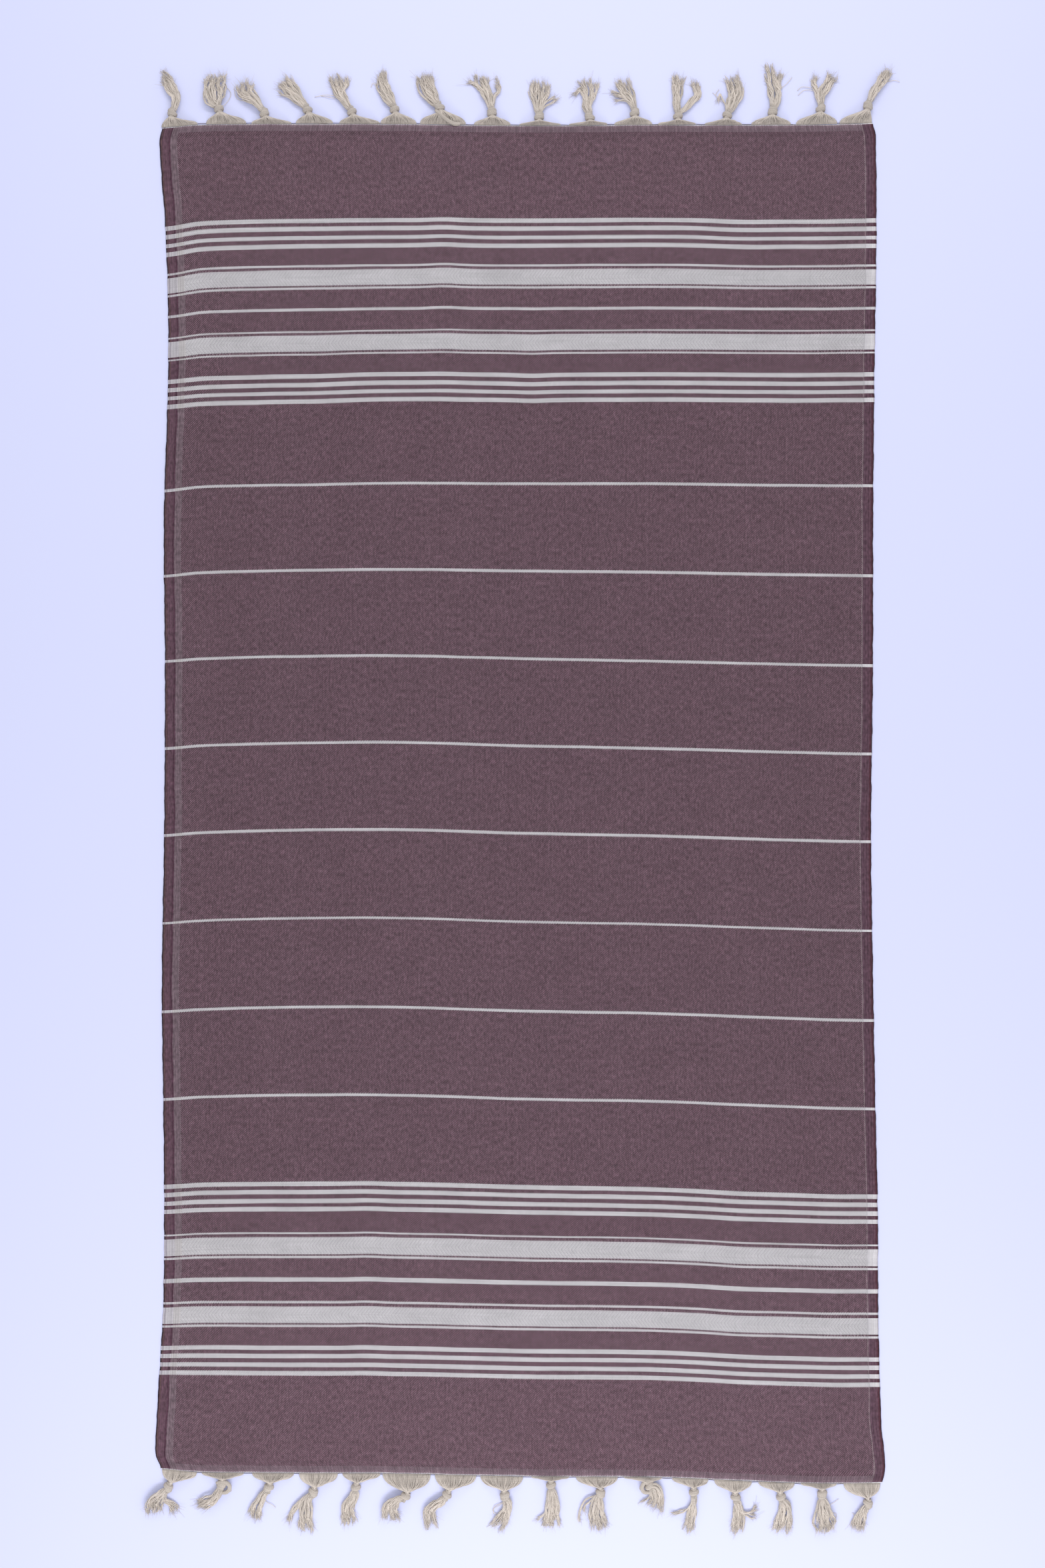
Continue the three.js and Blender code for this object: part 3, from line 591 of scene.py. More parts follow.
# for each tassel from left to right, in mm: the stretch of the cloth's end that it gathers, the knot's
# middle (across, and outward from the cloth's end), three points along the tail and its width at each,
# how high it arches over the surface, and how far round the bundle goes in the knot. Locks have left
# the tail: their line, width and share of the yarns. Strays are single yarns.
upper_tassels = (
    dict(gathers=(-481, -433), knot=(-466, 16.5), tail=((-460.5, 36), (-470, 56.5), (-482, 76.5)),
         width=(12, 19, 18), arch=3, wraps=1.7),
    dict(gathers=(-421, -367), knot=(-403.5, 19), tail=((-409, 31), (-410, 47), (-410, 67)),
         width=(28, 31, 26), arch=4, wraps=1.2, curl=2.4, strays=(((-396, 26), (-388, 39), (-393, 49)),)),
    dict(gathers=(-360, -306), knot=(-342.5, 12.5), tail=((-354, 28), (-367, 40.5), (-372, 56.5)),
         width=(13, 25, 22), arch=5, wraps=1.7, curl=2.0, strays=(((-362, 29), (-380, 35), (-384, 49)),)),
    dict(gathers=(-300, -250), knot=(-284, 17), tail=((-297, 33.5), (-308, 45.5), (-319, 57.5)),
         width=(16, 25, 28), arch=2, wraps=1.1),
    dict(gathers=(-241, -187), knot=(-224.5, 14.5), tail=((-236, 32.5), (-243, 48), (-249, 68)),
         width=(13, 19, 17), arch=1, wraps=1.2,
         locks=((((-237, 39.5), (-231, 51.5), (-229, 65.5)), (4, 8, 9), 0.22),),
         strays=(((-236, 35.5), (-256, 38.5), (-275, 36.5)), ((-238, 34), (-254, 35), (-266, 38)))),
    dict(gathers=(-186, -138), knot=(-167, 18), tail=((-176, 37), (-183, 52), (-186, 71)),
         width=(18, 20, 17), arch=1, wraps=1.2, strays=(((-186, 46), (-196, 55), (-199, 50)),)),
    dict(gathers=(-133, -71), knot=(-106, 21.5), tail=((-115, 33.5), (-123, 49), (-128, 66)),
         width=(19, 28, 30), arch=1, wraps=1.6,
         bands=(((-112, 17, 8), (-104, 11, 7), (-95, 4, 5), (-86, 0, 3.2), (-78, 1, 2.2)),)),
    dict(gathers=(-60, -11), knot=(-36, 15.5), tail=((-41, 39), (-47, 54), (-51, 70)),
         width=(15, 20, 26), arch=1, wraps=2.1,
         locks=((((-33, 35), (-27, 47), (-32, 67)), (4, 7, 9), 0.18),
                (((-44, 43), (-56, 54), (-67, 62)), (5, 7, 9), 0.16)),
         strays=(((-35, 41), (-24, 49), (-28, 59)),)),
    dict(gathers=(1, 57), knot=(27.5, 10), tail=((27, 29), (29, 44), (31, 60.5)),
         width=(17, 30, 34), arch=1, wraps=1.8,
         locks=((((36, 26), (46, 34), (57, 39)), (5, 8, 10), 0.16),),
         strays=(((24, 31), (14, 43), (15, 53)), ((23, 28), (15, 38), (12, 46)))),
    dict(gathers=(68, 120), knot=(96, 9), tail=((92, 25.5), (93, 44), (88, 63)),
         width=(14, 18, 28), arch=1, wraps=1.7,
         locks=((((91, 34.5), (84, 47.5), (74, 45.5)), (5, 9, 10), 0.2),
                (((97, 30.5), (103, 44.5), (106, 61.5)), (5, 8, 8), 0.2))),
    dict(gathers=(129, 180), knot=(156, 14.5), tail=((152, 31), (144, 44.5), (138, 61)),
         width=(14, 24, 20), arch=1, wraps=1.7,
         locks=((((150, 30), (138, 37), (124, 39)), (5, 9, 12), 0.24),),
         strays=(((156, 38), (153, 50), (152, 60)),)),
    dict(gathers=(188, 239), knot=(214.5, 10), tail=((213, 30), (214, 47), (215, 66.5)),
         width=(12, 18, 24), arch=1, wraps=1.3,
         locks=((((231, 27), (241, 42), (236, 58)), (9, 12, 13), 0.38),)),
    dict(gathers=(251, 301), knot=(281, 11.5), tail=((288, 30), (293, 46), (290, 68.5)),
         width=(18, 23, 27), arch=1, wraps=1.2,
         locks=((((278, 30), (272, 42), (266, 32)), (3, 5, 6), 0.08),),
         strays=(((277, 30), (268, 36), (262, 44)), ((276, 32), (266, 40), (270, 48)))),
    dict(gathers=(314, 367), knot=(342, 16), tail=((345, 35), (341, 56), (336, 84)),
         width=(19, 17, 18), arch=1, wraps=2.0,
         locks=((((350, 42), (352, 56), (355, 72)), (6, 8, 9), 0.27),),
         strays=(((354, 48), (362, 56), (369, 65)),)),
    dict(gathers=(374, 429), knot=(406.5, 19.5), tail=((408, 39.5), (417, 54), (426, 66.5)),
         width=(13, 14, 15), arch=2, wraps=1.7,
         locks=((((403, 39.5), (399, 53.5), (401, 66.5)), (7, 9, 9), 0.36),),
         strays=(((399, 44.5), (386, 46.5), (377, 39.5)), ((398, 47), (384, 51), (376, 46)))),
    dict(gathers=(433, 476), knot=(470.5, 21.5), tail=((478, 40), (489, 56), (500, 72)),
         width=(12, 16, 15), arch=4, wraps=1.9, strays=(((494, 53), (504, 58), (514, 56)),)),
)
lower_tassels = (
    dict(gathers=(-471, -425), knot=(-462.5, 21.5), tail=((-472, 31), (-480, 41), (-478, 55.5)),
         width=(14, 24, 28), arch=5, wraps=1.7, curl=2.6,
         locks=((((-468, 37), (-460, 45), (-455, 54)), (5, 9, 12), 0.25),)),
    dict(gathers=(-419, -363), knot=(-391.5, 13.5), tail=((-399, 29.5), (-410, 37), (-423, 43)),
         width=(12, 17, 17), arch=4, wraps=1.9,
         bands=(((-399, 12, 6), (-388, 10, 7), (-381, 16, 6.5), (-385, 24, 5), (-396, 25, 4)),),
         strays=(((-391, 23.5), (-380, 24.5), (-383, 13.5)),)),
    dict(gathers=(-352, -297), knot=(-329.5, 17.5), tail=((-338, 30.5), (-345, 45), (-348, 61)),
         width=(12, 20, 23), arch=1, wraps=1.7, strays=(((-334, 34.5), (-328, 40.5), (-321, 45.5)),)),
    dict(gathers=(-290, -239), knot=(-271, 23), tail=((-279, 36.5), (-281, 56.5), (-282, 77)),
         width=(14, 20, 22), arch=1, wraps=1.7,
         locks=((((-286, 34.5), (-297, 49.5), (-303, 62.5)), (7, 12, 14), 0.36),)),
    dict(gathers=(-233, -183), knot=(-214.5, 17), tail=((-218, 30), (-226, 45), (-224, 68)),
         width=(14, 16, 24), arch=1, wraps=1.2),
    dict(gathers=(-180, -116), knot=(-149, 28), tail=((-161, 32), (-170, 44), (-169, 61.5)),
         width=(12, 23, 29), arch=6, wraps=1.4),
    dict(gathers=(-110, -56), knot=(-94.5, 25), tail=((-103, 33.5), (-118, 45.5), (-116, 73)),
         width=(13, 17, 21), arch=5, wraps=1.3),
    dict(gathers=(-50, 6), knot=(-18, 24), tail=((-15, 33.5), (-17, 48.5), (-33, 71.5)),
         width=(12, 15, 26), arch=2, wraps=1.9,
         strays=(((-20, 33.5), (-32, 39.5), (-33, 49.5)), ((-21, 35), (-34, 44), (-28, 52)))),
    dict(gathers=(17, 67), knot=(43, 9.5), tail=((44, 29.5), (44, 47.5), (43, 66.5)),
         width=(18, 20, 28), arch=1, wraps=1.1,
         locks=((((40, 37.5), (34, 49.5), (28, 57.5)), (4, 6, 8), 0.12),)),
    dict(gathers=(76, 131), knot=(108, 19.5), tail=((104, 32), (103, 48.5), (107, 70)),
         width=(18, 22, 28), arch=3, wraps=1.8,
         locks=((((96, 28), (86, 39), (86, 60)), (5, 6, 7), 0.16),)),
    dict(gathers=(139, 190), knot=(172.5, 9.5), tail=((180, 13), (183, 26), (177, 41)),
         width=(15, 20, 32), arch=3, wraps=1.2,
         bands=(((178, 5, 4), (168, 4, 6), (163, 11, 6.5), (166, 18, 5.5), (176, 18, 5)),),
         strays=(((166, 6), (160, 16), (170, 21)),)),
    dict(gathers=(203, 251), knot=(231.5, 16.5), tail=((231, 32), (228, 50), (224, 72.5)),
         width=(9, 13, 17), arch=1, wraps=1.2,
         locks=((((226, 36), (214, 43), (202, 46)), (3, 5, 8), 0.14),)),
    dict(gathers=(259, 308), knot=(286.5, 20.5), tail=((289, 30.5), (290, 49), (287, 71.5)),
         width=(12, 17, 17), arch=1, wraps=1.2,
         locks=((((296, 39.5), (307, 39.5), (315, 31.5)), (3, 5, 6), 0.1),
                (((294, 40.5), (304, 43.5), (313, 44.5)), (3, 5, 6), 0.08),
                (((293, 42.5), (302, 48.5), (309, 54.5)), (3, 5, 6), 0.08))),
    dict(gathers=(317, 365), knot=(346.5, 17.5), tail=((352, 31), (351, 46), (347, 67)),
         width=(16, 20, 27), arch=1, wraps=1.3),
    dict(gathers=(373, 421), knot=(401, 12), tail=((402, 28.5), (403, 45.5), (404, 63.5)),
         width=(20, 32, 26), arch=2, wraps=1.9, curl=2.0,
         strays=(((404, 29.5), (414, 26.5), (423, 20.5)), ((408, 34), (420, 40), (414, 54)))),
    dict(gathers=(430, 478), knot=(461, 25), tail=((456, 36), (452, 47), (449, 62)),
         width=(14, 19, 20), arch=1, wraps=1.7, strays=(((455, 41), (446, 44), (441, 39)),)),
)


def ordered_spots(count):
    """Evenly spread places in a round bundle: how far out, and the angle."""
    golden = np.pi * (3 - math.sqrt(5))
    spots = np.arange(count) + 0.5
    return np.sqrt(spots / count), spots * golden


def loose_tail(line, width, depth, lock_count, draw, curl=0.0):
    """Paths of the yarns of a tail along a line. They lie in locks, each a loose rope of a few yarns, and
    the locks bend, part and open towards their tips."""
    rings = 15
    yarns_a_lock = 5
    out, turn = ordered_spots(lock_count)
    lock = np.repeat(np.arange(lock_count), yarns_a_lock)
    count = len(lock)
    # no two locks are cut to one length, nor any two yarns
    longer = 0.03
    lock_shorter = -0.2
    yarn_shorter = -0.12
    reach = 1 + draw.uniform(lock_shorter, longer, lock_count)[lock]
    reach = reach + draw.uniform(yarn_shorter, longer, count)
    share = np.linspace(0, 1, rings) * reach[:, None]
    index = share * (len(line) - 1)
    step = 0.04
    ahead = smooth(line, index + step) - smooth(line, index - step)
    sideways = unit(np.cross(ahead, (0, 0, 1)))
    run = share * np.linalg.norm(np.diff(line, axis=0), axis=1).sum()
    half = smooth(width, index) / 2
    deep = smooth(depth, index) / 2
    thickest = 1.7
    rope_share = 0.45
    rope_inside = 0.3
    rope_under = 0.5
    rope_lift = 0.3
    rope = np.minimum(thickest, rope_share * half)
    # close to the knot, over the first third of the tail, the yarns are held straight
    held_over = 1 / 3
    freed = np.minimum(1, share / held_over)

    # the line of each lock, which sways to one side and runs in a slow wave
    wave_length = 23
    wave = 0.8
    lowest = 0.3
    twist_stray = 0.6
    swing_stray = 1.4
    twist = draw.normal(0, twist_stray, lock_count)[lock][:, None]
    lock_turn = (turn + draw.uniform(0, 2 * np.pi))[lock][:, None] + twist * share
    swing = draw.normal(0, swing_stray, lock_count)[lock][:, None] * share**2
    phase = draw.random(lock_count)[lock][:, None]
    swing = swing + wave * np.sin(2 * np.pi * (run / wave_length + phase)) * freed
    aside = out[lock][:, None] * np.cos(lock_turn) * (half - rope_inside * rope) + swing
    lift = (out[lock][:, None] * np.sin(lock_turn) + 1) * np.maximum(deep - rope_under * rope, lowest)

    # each yarn in its lock: round the lock's line in a long turn, wider at the tip, with a crimp of its
    # own and, where the tail is curly, with curls
    turn_length = 34
    ring_share = 0.6
    spin_stray = 0.4
    tip_opens = 0.9
    tip_stray = 0.5
    crimp_length = 7
    crimp = 0.22
    curl_length = 15
    curl_lift = 0.8
    spot = np.tile(np.arange(yarns_a_lock) / yarns_a_lock, lock_count)[:, None]
    spin = 2 * np.pi * (spot + run / turn_length + phase) + draw.normal(0, spin_stray, count)[:, None]
    opened = 1 + tip_opens * share**4 + draw.normal(0, tip_stray, count)[:, None] * share**3
    aside = aside + ring_share * rope * opened * np.cos(spin)
    lift = lift + ring_share * rope * opened * np.sin(spin) + rope_lift * rope
    own_phase = draw.random(count)[:, None]
    aside = aside + crimp * np.sin(2 * np.pi * (run / crimp_length + own_phase)) * freed
    curl_turn = 2 * np.pi * (run / curl_length + phase)
    aside = aside + curl * share**2 * np.sin(curl_turn)
    lift = lift + curl_lift * curl * share**2 * (1 + np.cos(curl_turn))
    paths = smooth(line, index) + sideways * aside[..., None]
    paths[..., 2] += lift
    return paths


def frays(paths, draw, per_yarn=3):
    """Fine fibres that have opened out of the tips of yarns, from the third ring before the tip."""
    rings = 4
    spread = 0.3
    flattened = 0.5
    bend = 1.7
    shortest = 4
    longest = 11
    opens_at = -3
    tip = np.repeat(paths[:, opens_at], per_yarn, axis=0)
    ahead = np.repeat(unit(paths[:, -1] - paths[:, opens_at]), per_yarn, axis=0)
    away = draw.normal(0, spread, (len(tip), 3))
    away[:, 2] *= flattened
    length = draw.uniform(shortest, longest, len(tip))
    curl = draw.normal(0, bend, (len(tip), 3))
    t = np.linspace(0, 1, rings)[None, :, None]
    return tip[:, None] + (ahead + away)[:, None] * length[:, None, None] * t + curl[:, None] * t**2


# Natural cotton, the same yarn as the warp and not dyed: soft, matt and warm grey-white.
cotton_yarn = spun_yarn("natural_cotton_yarn", "#dbd1c9", 0.1)

# the knot's length, and the height of its middle over the surface
knot_length = 15
knot_middle = 4.9

# the fan's two layers: their number of yarns and its radius, which one is raised and how much it strays
fan_layers = ((40, 0.95, 0, 0.2), (62, 0.5, 1, 1.1))
fan_rings = 11
fan_clumps = 9
# half the width of the bundle where the fan ends in the knot, and each layer's height over its middle
stem_half = 3.6
stem_heights = (-3.2, 2.8)
# a yarn's middle lies this high where it leaves the cloth, and in the raised layer this much higher
leaves_at = 0.75
raised_by = 0.5
# it starts this far out from the cloth's end, and strays this much from its even place along it
starts_out = 0.2
start_stray = 0.2
# how much the yarns differ in their place round the stem and in how far they swell, as shares
stem_stray = 0.04
swell_stray = 0.07
# a yarn goes straight out for this much at least, rises this much, and comes to the knot in line with it
# for this much at least
least_out = 3
rises = 1.6
least_in = 2.5
# how high it ripples between its ends, in how many waves, and how thin it gets by the knot, as a share
ripple_height = 0.35
ripple_waves = 1.3
thins_to = 0.85
# how far the fan and the tail run into the knot, as shares of its length
fan_runs_in = 0.3
tail_runs_in = 0.2
# how high each layer bulges in the middle of the fan, and a clump of yarns over its neighbours
bulge_heights = (1.2, 2.8)
clump_height = 0.4
# how much lighter or darker a clump is than its neighbours, painted light on a higher clump and painted
# shade on a lower one, and a yarn than its clump
clump_light_and_shade = 0.03
tone_stray = 0.02
# painted shade and light on a fan: close to the cloth it is painted this much darker than its knot, and
# this much lighter from this share of its length on
fan_root_shade = 0.03
lighter = 0.15
fan_light_from = 0.625

# a yarn of the knot has five sides, one of the fan or the tail has four, and a fine fibre three
knot_sides = 5
loose_sides = 4
fibre_sides = 3

# the radius of each other sort of yarn, and the least height of its middle, just clear of the surface.
# The yarns of a tail thin out towards the tip, and so do the fibres that open from them.
core_radius = 0.85
wrap_radius = 0.72
wrap_lowest = 0.75
band_radius = 0.62
band_lowest = 0.7
tail_root = 0.7
tail_thinner = 0.4
tail_lowest = 0.72
single_radius = 0.4
single_lowest = 0.45
fibre_root = 0.3
fibre_tip = 0.08
fibre_lowest = 0.34

# at each end: which way is outward, how full the fans stand (0 to 1), and the painted shade that darkens
# the knots, their bands and their fans
sides = (
    (1, "top", upper_end, upper_tassels, 0.72, 0.76),
    (-1, "bottom", lower_end, lower_tassels, 0.85, 0.84),
)
first_seed = 40
for end, side_name, edge_at, tassels, cup, knot_painted_shade in sides:
    edge_x, edge_y = cloth_points(np.linspace(-1, 1, 97), np.array([edge_at]))
    for order, tassel in enumerate(tassels):
        draw = np.random.default_rng(first_seed + 20 * end + order)
        knot_x, knot_out = tassel["knot"]
        edge_here = np.interp(knot_x, edge_x[0], edge_y[0])

        def placed(points, height):
            """Points given across and outward, as points of the cloth's frame at a height."""
            flat = np.array([(px, edge_here + end * out) for px, out in points], float)
            return np.column_stack([flat, np.broadcast_to(height, len(flat))])

        def add_yarns(paths, radii, sides, tone, beside=(0, 0, 1)):
            """Adds yarns to the tassel, with their tone from ring to ring."""
            tones = np.repeat(np.broadcast_to(tone, radii.shape), sides)
            parts.append((*yarn_tubes(paths, radii, sides, beside), tones))

        knot = placed([tassel["knot"]], knot_middle)[0]
        tail_first = placed(tassel["tail"][:1], knot_middle)[0]
        heading = unit(unit(tail_first - knot) + (0, end, 0))
        sideways = unit(np.cross(heading, (0, 0, 1)))
        parts = []

        # the fan: two layers of yarn come out of the cloth's end, swell and turn in to the knot. Close to
        # the cloth the yarns are painted darker, as painted shade, and lighter towards the knot, as
        # painted light.
        entry = knot - heading * knot_length * fan_runs_in
        gap = knot_out - knot_length / 2
        for count, radius, raised, stray in fan_layers:
            place = (np.arange(count) + 0.5) / count * 2 - 1
            start_x = np.interp(place, (-1, 1), tassel["gathers"]) + draw.normal(0, start_stray, count)
            start_y = np.interp(start_x, edge_x[0], edge_y[0]) + starts_out * end
            start = np.column_stack([start_x, start_y, np.full(count, leaves_at + raised_by * raised)])
            place = place + draw.normal(0, stem_stray * stray, count)
            # they arrive on the round of the stem, one layer under its middle and one over it
            arrive = entry + sideways * (place * stem_half)[:, None]
            arrive[:, 2] = knot_middle + np.sqrt(np.clip(1 - place**2, 0, 1)) * stem_heights[raised]
            swell = cup * draw.normal(1, swell_stray * stray, count)
            # its yarns hold together in clumps, some higher than others and painted lighter for it, as
            # painted light
            clump = draw.normal(0, 1, fan_clumps)[np.arange(count) * fan_clumps // count]
            # each yarn is a curve that first goes straight out and comes to the knot in line with it. In a
            # full fan it turns in late and stays wide.
            out_first = start + np.array([0, end, 0]) * np.maximum(least_out, swell * gap)[:, None]
            out_first[:, 2] += rises
            length = np.linalg.norm(arrive - start, axis=1)
            turns_in = 0.45 - 0.3 * cup
            back_last = arrive - heading * np.maximum(least_in, turns_in * length)[:, None]
            stays_wide = 0.6
            narrow_fan = 0.35
            back_last[:, 0] += (start_x - knot_x) * (cup - narrow_fan) * stays_wide
            t = np.linspace(0, 1, fan_rings)[None, :, None]
            fan = ((1 - t)**3 * start[:, None] + 3 * (1 - t)**2 * t * out_first[:, None]
                   + 3 * (1 - t) * t**2 * back_last[:, None] + t**3 * arrive[:, None])
            # between its ends it stands up, most in the middle of the fan, and ripples a little
            bulge = np.sin(np.pi * t[..., 0])
            waves = np.sin(2 * np.pi * (ripple_waves * t[..., 0] + draw.random(count)[:, None]))
            ripple = ripple_height * stray * (draw.normal(0, 1, count)[:, None] + waves)
            height = bulge_heights[raised] * (1 - place**2) + clump_height * clump
            fan[..., 2] += bulge * (height[:, None] + ripple)
            fan[..., 0] += bulge * ripple
            fan[..., 2] = np.maximum(fan[..., 2], radius)
            thick = np.linspace(radius, thins_to * radius, fan_rings)
            thick = np.broadcast_to(thick, (count, fan_rings))
            fan_tone = knot_painted_shade + clump_light_and_shade * clump + draw.normal(0, tone_stray, count)
            # painted shade next to the cloth, painted light from partway to the knot on
            towards_knot = np.clip(t[..., 0] / fan_light_from, 0, 1)
            fan_tone = fan_tone[:, None] - fan_root_shade + (fan_root_shade + lighter) * towards_knot
            add_yarns(fan, thick, loose_sides, fan_tone)

        # the knot's core: the bundle goes straight through, twisted a little, in the shade of its wrap
        hand = 1 if order % 3 else -1
        core_count = 12
        core_twist = 1.2
        core_tone = 0.74
        core_half = 2.9
        core_pinch = 0.5
        core_from = -0.42
        core_to = 0.5
        rings = 9
        turn = 2 * np.pi * np.arange(core_count) / core_count
        along_core = np.linspace(core_from, core_to, rings)
        waist = core_half - core_pinch * np.cos(2 * np.pi * along_core)
        turn_core = turn[:, None] + hand * core_twist * along_core
        core = knot + heading * (along_core * knot_length)[None, :, None]
        core = core + sideways * (np.cos(turn_core) * waist)[..., None]
        core[..., 2] += np.sin(turn_core) * waist
        add_yarns(core, np.full((core_count, rings), core_radius), knot_sides, core_tone)

        # the knot's wrap: the bundle goes round itself, so that a slanting lobe or two shows
        wrap_half = (4.2, 4.2, 2.9)
        wrap_girth = 2.55
        wrap_twist = 2.2
        wrap_count = 13
        wrap_pitch = 4.6
        slant = 1.5
        slant_turn = 0.9
        wrap_flat = 0.8
        # its two ends are this thin, as a share, and it thickens this fast
        wrap_end = 0.35
        wrap_thickens = 4
        starts_under = -np.pi / 2 - 0.5
        rings = 26
        t = np.linspace(0, 1, rings)
        swing = starts_under + 2 * np.pi * tassel["wraps"] * t
        turns_length = wrap_pitch * (tassel["wraps"] - 0.55)
        centre_along = (t - 0.5) * turns_length + slant * np.sin(swing + slant_turn)
        radial = sideways * (hand * np.cos(swing))[:, None] + np.array([0, 0, 1]) * np.sin(swing)[:, None]
        centre = knot + heading * centre_along[:, None] + radial * wrap_half
        bundle = wrap_girth * np.minimum(1, wrap_end + wrap_thickens * np.minimum(t, 1 - t))
        turn = 2 * np.pi * np.arange(wrap_count)[:, None] / wrap_count + hand * wrap_twist * t
        wrap = centre + radial * (wrap_flat * bundle * np.cos(turn))[..., None]
        wrap = wrap + heading * (bundle * np.sin(turn))[..., None]
        wrap[..., 2] = np.maximum(wrap[..., 2], wrap_lowest)
        add_yarns(wrap, np.full((wrap_count, rings), wrap_radius), knot_sides, knot_painted_shade, heading)

        # a band: part of the bundle that went round outside the knot and lies over the fan
        for band in tassel.get("bands", ()):
            line = placed([point[:2] for point in band], [point[2] for point in band])
            band_girth = 2.1
            band_twist = 1.5
            band_end = 0.5
            band_thickens = 3
            rings = 17
            count = 14
            t = np.linspace(0, 1, rings)
            turn = 2 * np.pi * np.arange(count)[:, None] / count + band_twist * t
            middle = smooth(line, t * (len(line) - 1))
            level = unit(np.cross(np.gradient(middle, axis=0), (0, 0, 1)))
            girth = band_girth * np.minimum(1, band_end + band_thickens * np.minimum(t, 1 - t))
            band_yarns = middle + level * (np.cos(turn) * girth)[..., None]
            band_height = band_yarns[..., 2] + np.sin(turn) * girth
            band_yarns[..., 2] = np.maximum(band_height, band_lowest)
            add_yarns(band_yarns, np.full((count, rings), band_radius), knot_sides, knot_painted_shade)

        # the tail: loose yarns, thicker than the fan's, flat on the surface or arched over it. Its line's
        # heights, its widths and its depths are at the knot and at the table's three points.
        locks = tassel.get("locks", ())
        taken = sum(share for _, _, share in locks)
        arch = tassel["arch"]
        leaves = knot + heading * knot_length * tail_runs_in
        line = np.vstack([leaves, placed(tassel["tail"], 0)])
        line[:, 2] = (1.7, 0.5 + arch, 0.2 + 0.6 * arch, 0.1)
        width = (6.4,) + tassel["width"]
        depth = (6.2, 6, 4.6, 3.4)
        curl = tassel.get("curl", 0.2)
        # a wide tail shows more of its locks, and what has branched off is missing from it
        lock_apart = 2.2
        fewest_locks = 5
        missing = 0.6 * taken
        lock_count = round((fewest_locks + np.mean(tassel["width"]) / lock_apart) * (1 - missing))
        locks_in_all = 15
        bunches = [loose_tail(line, width, depth, lock_count, draw, curl)]
        for lock_line, lock_width, share in locks:
            line = np.vstack([leaves, placed(lock_line, 0)])
            line[:, 2] = (2.2, 2.2, 1.2, 0.2)
            depth = (4.5, 3.4, 3.2, 2.6)
            width = (4.0,) + lock_width
            lock_count = max(1, round(locks_in_all * share))
            bunches.append(loose_tail(line, width, depth, lock_count, draw))
        for stray in tassel.get("strays", ()):
            line = np.vstack([leaves, placed(stray, 0)])
            line[:, 2] = (2.5, 2.0, 1.2, 0.5)
            single_tone = 1.05
            waver_size = 0.5
            waver_turn = 9
            rings = 15
            ripple = waver_size * np.sin(np.linspace(0, waver_turn, rings) + draw.random())
            single = smooth(line, np.linspace(0, len(line) - 1, rings))[None] + ripple[None, :, None]
            single[..., 2] = np.maximum(single[..., 2], single_lowest)
            add_yarns(single, np.full(single.shape[:2], single_radius), loose_sides, single_tone)
        for paths in bunches:
            paths[..., 2] = np.maximum(paths[..., 2], tail_lowest)
            thin = np.linspace(0, 1, paths.shape[1])
            radius = np.broadcast_to(tail_root - tail_thinner * thin**3, paths.shape[:2])
            # painted shade: a yarn is painted darker the lower it lies, where others lie over it, and
            # lighter where it has opened at its tip
            under_painted_shade = 0.6
            lighter_over = 0.35
            lighter_tip = 0.27
            lifted = paths[..., 2] / paths[..., 2].max(axis=0)
            tail_tone = under_painted_shade + lighter_over * lifted + lighter_tip * thin**2
            add_yarns(paths, radius, loose_sides, tail_tone)
            fine = frays(paths, draw)
            fine[..., 2] = np.maximum(fine[..., 2], fibre_lowest)
            fine_radius = np.linspace(fibre_root, fibre_tip, fine.shape[1])
            add_yarns(fine, np.broadcast_to(fine_radius, fine.shape[:2]), fibre_sides, 1.0)

        # all its yarns make one mesh, in which each is still counted by its weave coordinates
        points = np.concatenate([part[0] for part in parts])
        firsts = np.cumsum([0] + [len(part[0]) for part in parts])
        counts = np.cumsum([0] + [part[1][1].shape[0] for part in parts])
        faces = [face + first for part, first in zip(parts, firsts) for face in part[1]]
        uv = [place + (count, 0) for part, count in zip(parts, counts) for place in part[2]]
        tones = np.concatenate([part[3] for part in parts])
        name = f"fringe_{side_name}_{order + 1:02d}"
        piece = make_piece(name, points, faces, uv, cotton_yarn, tones)
        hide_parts(f"tassel_{side_name}_{order + 1:02d}")


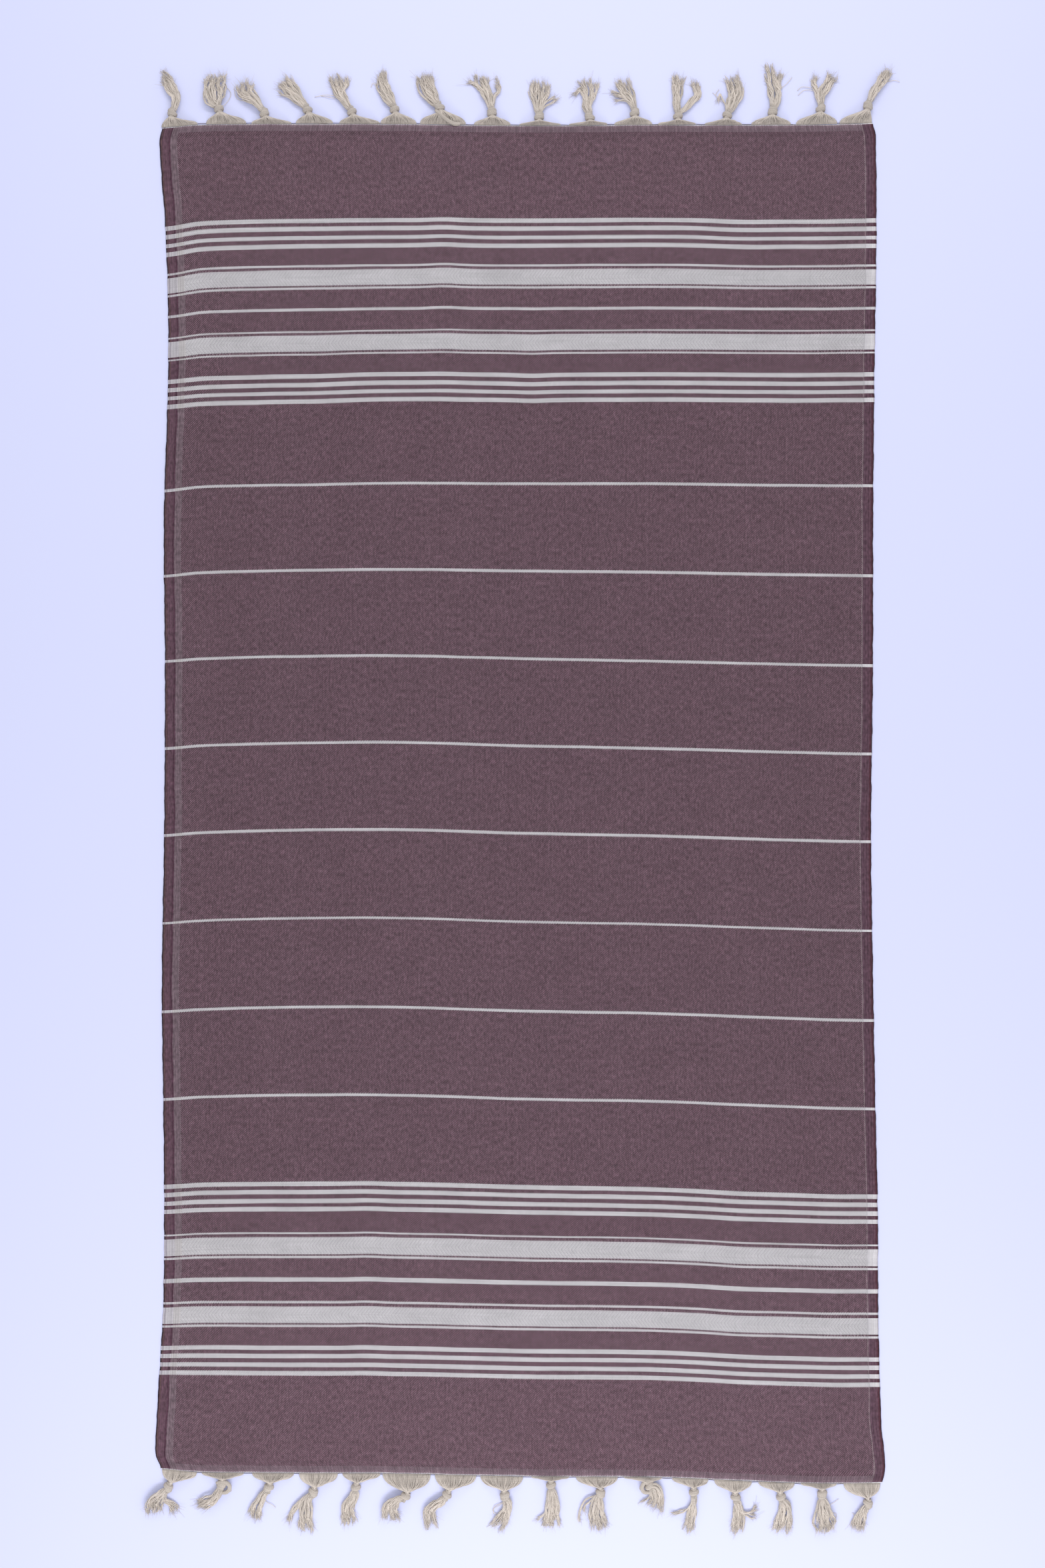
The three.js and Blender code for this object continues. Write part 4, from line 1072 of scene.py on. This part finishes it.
# The surface under the towel, a plain matt pale lavender board that lies a hair lower than the towel's
# flat underside, and the light on it: the room's own even light, with a wide soft lamp over the middle
# and one beyond each end.
reach = 4.0
under = -0.0004
floor_mesh = bpy.data.meshes.new("pale_surface")
floor_mesh.from_pydata([(-reach, -reach, under), (reach, -reach, under), (reach, reach, under),
                        (-reach, reach, under)], [], [(0, 1, 2, 3)])
floor = bpy.data.objects.new("pale_surface", floor_mesh)
bpy.context.scene.collection.objects.link(floor)
painted_board, board = new_material("painted_board")
surface = add(board, "BsdfPrincipled", {
    "Base Color": linear("#d4d8f9"), "Roughness": 0.8, "Specular IOR Level": 0.1,
})
add(board, "OutputMaterial", {"Surface": surface})
floor_mesh.materials.append(painted_board)

world = bpy.data.worlds.new("even_light")
bpy.context.scene.world = world
world.use_nodes = True
background = world.node_tree.nodes["Background"]
background.inputs["Color"].default_value = linear("#ffffff")
background.inputs["Strength"].default_value = 0.71


def soft_light(name, place, aim, width, height, watts):
    """A wide area light that faces a point."""
    lamp = bpy.data.lights.new(name, "AREA")
    lamp.shape = "RECTANGLE"
    lamp.size = width
    lamp.size_y = height
    lamp.energy = watts
    light = bpy.data.objects.new(name, lamp)
    light.location = place
    light.rotation_euler = (Vector(aim) - Vector(place)).to_track_quat("-Z", "Y").to_euler()
    bpy.context.scene.collection.objects.link(light)


soft_light("light_over_middle", (0.1, 0.0, 2.5), (0, 0, 0), 0.6, 0.6, 9)
soft_light("light_beyond_foot", (0.1, -1.7, 1.3), (0, -0.7, 0), 1.5, 0.4, 14)
soft_light("light_beyond_head", (0.1, 1.7, 1.3), (0, 0.7, 0), 1.5, 0.4, 9)

# The camera hangs over the middle of the towel, tilted by a degree and a half towards its head.
distance = 2600
tilt = math.radians(1.6)
beside_middle = np.array([5.3, 13.1, 0])
aim = (beside_middle + to_row_frame) / per_metre
lens = bpy.data.cameras.new("overhead")
lens.lens = 44.7
camera = bpy.data.objects.new("overhead", lens)
camera.location = aim + np.array([0, -math.sin(tilt), math.cos(tilt)]) * distance / per_metre
camera.rotation_euler = (tilt, 0, 0)
bpy.context.scene.collection.objects.link(camera)
bpy.context.scene.camera = camera
bpy.context.scene.view_settings.view_transform = "Standard"
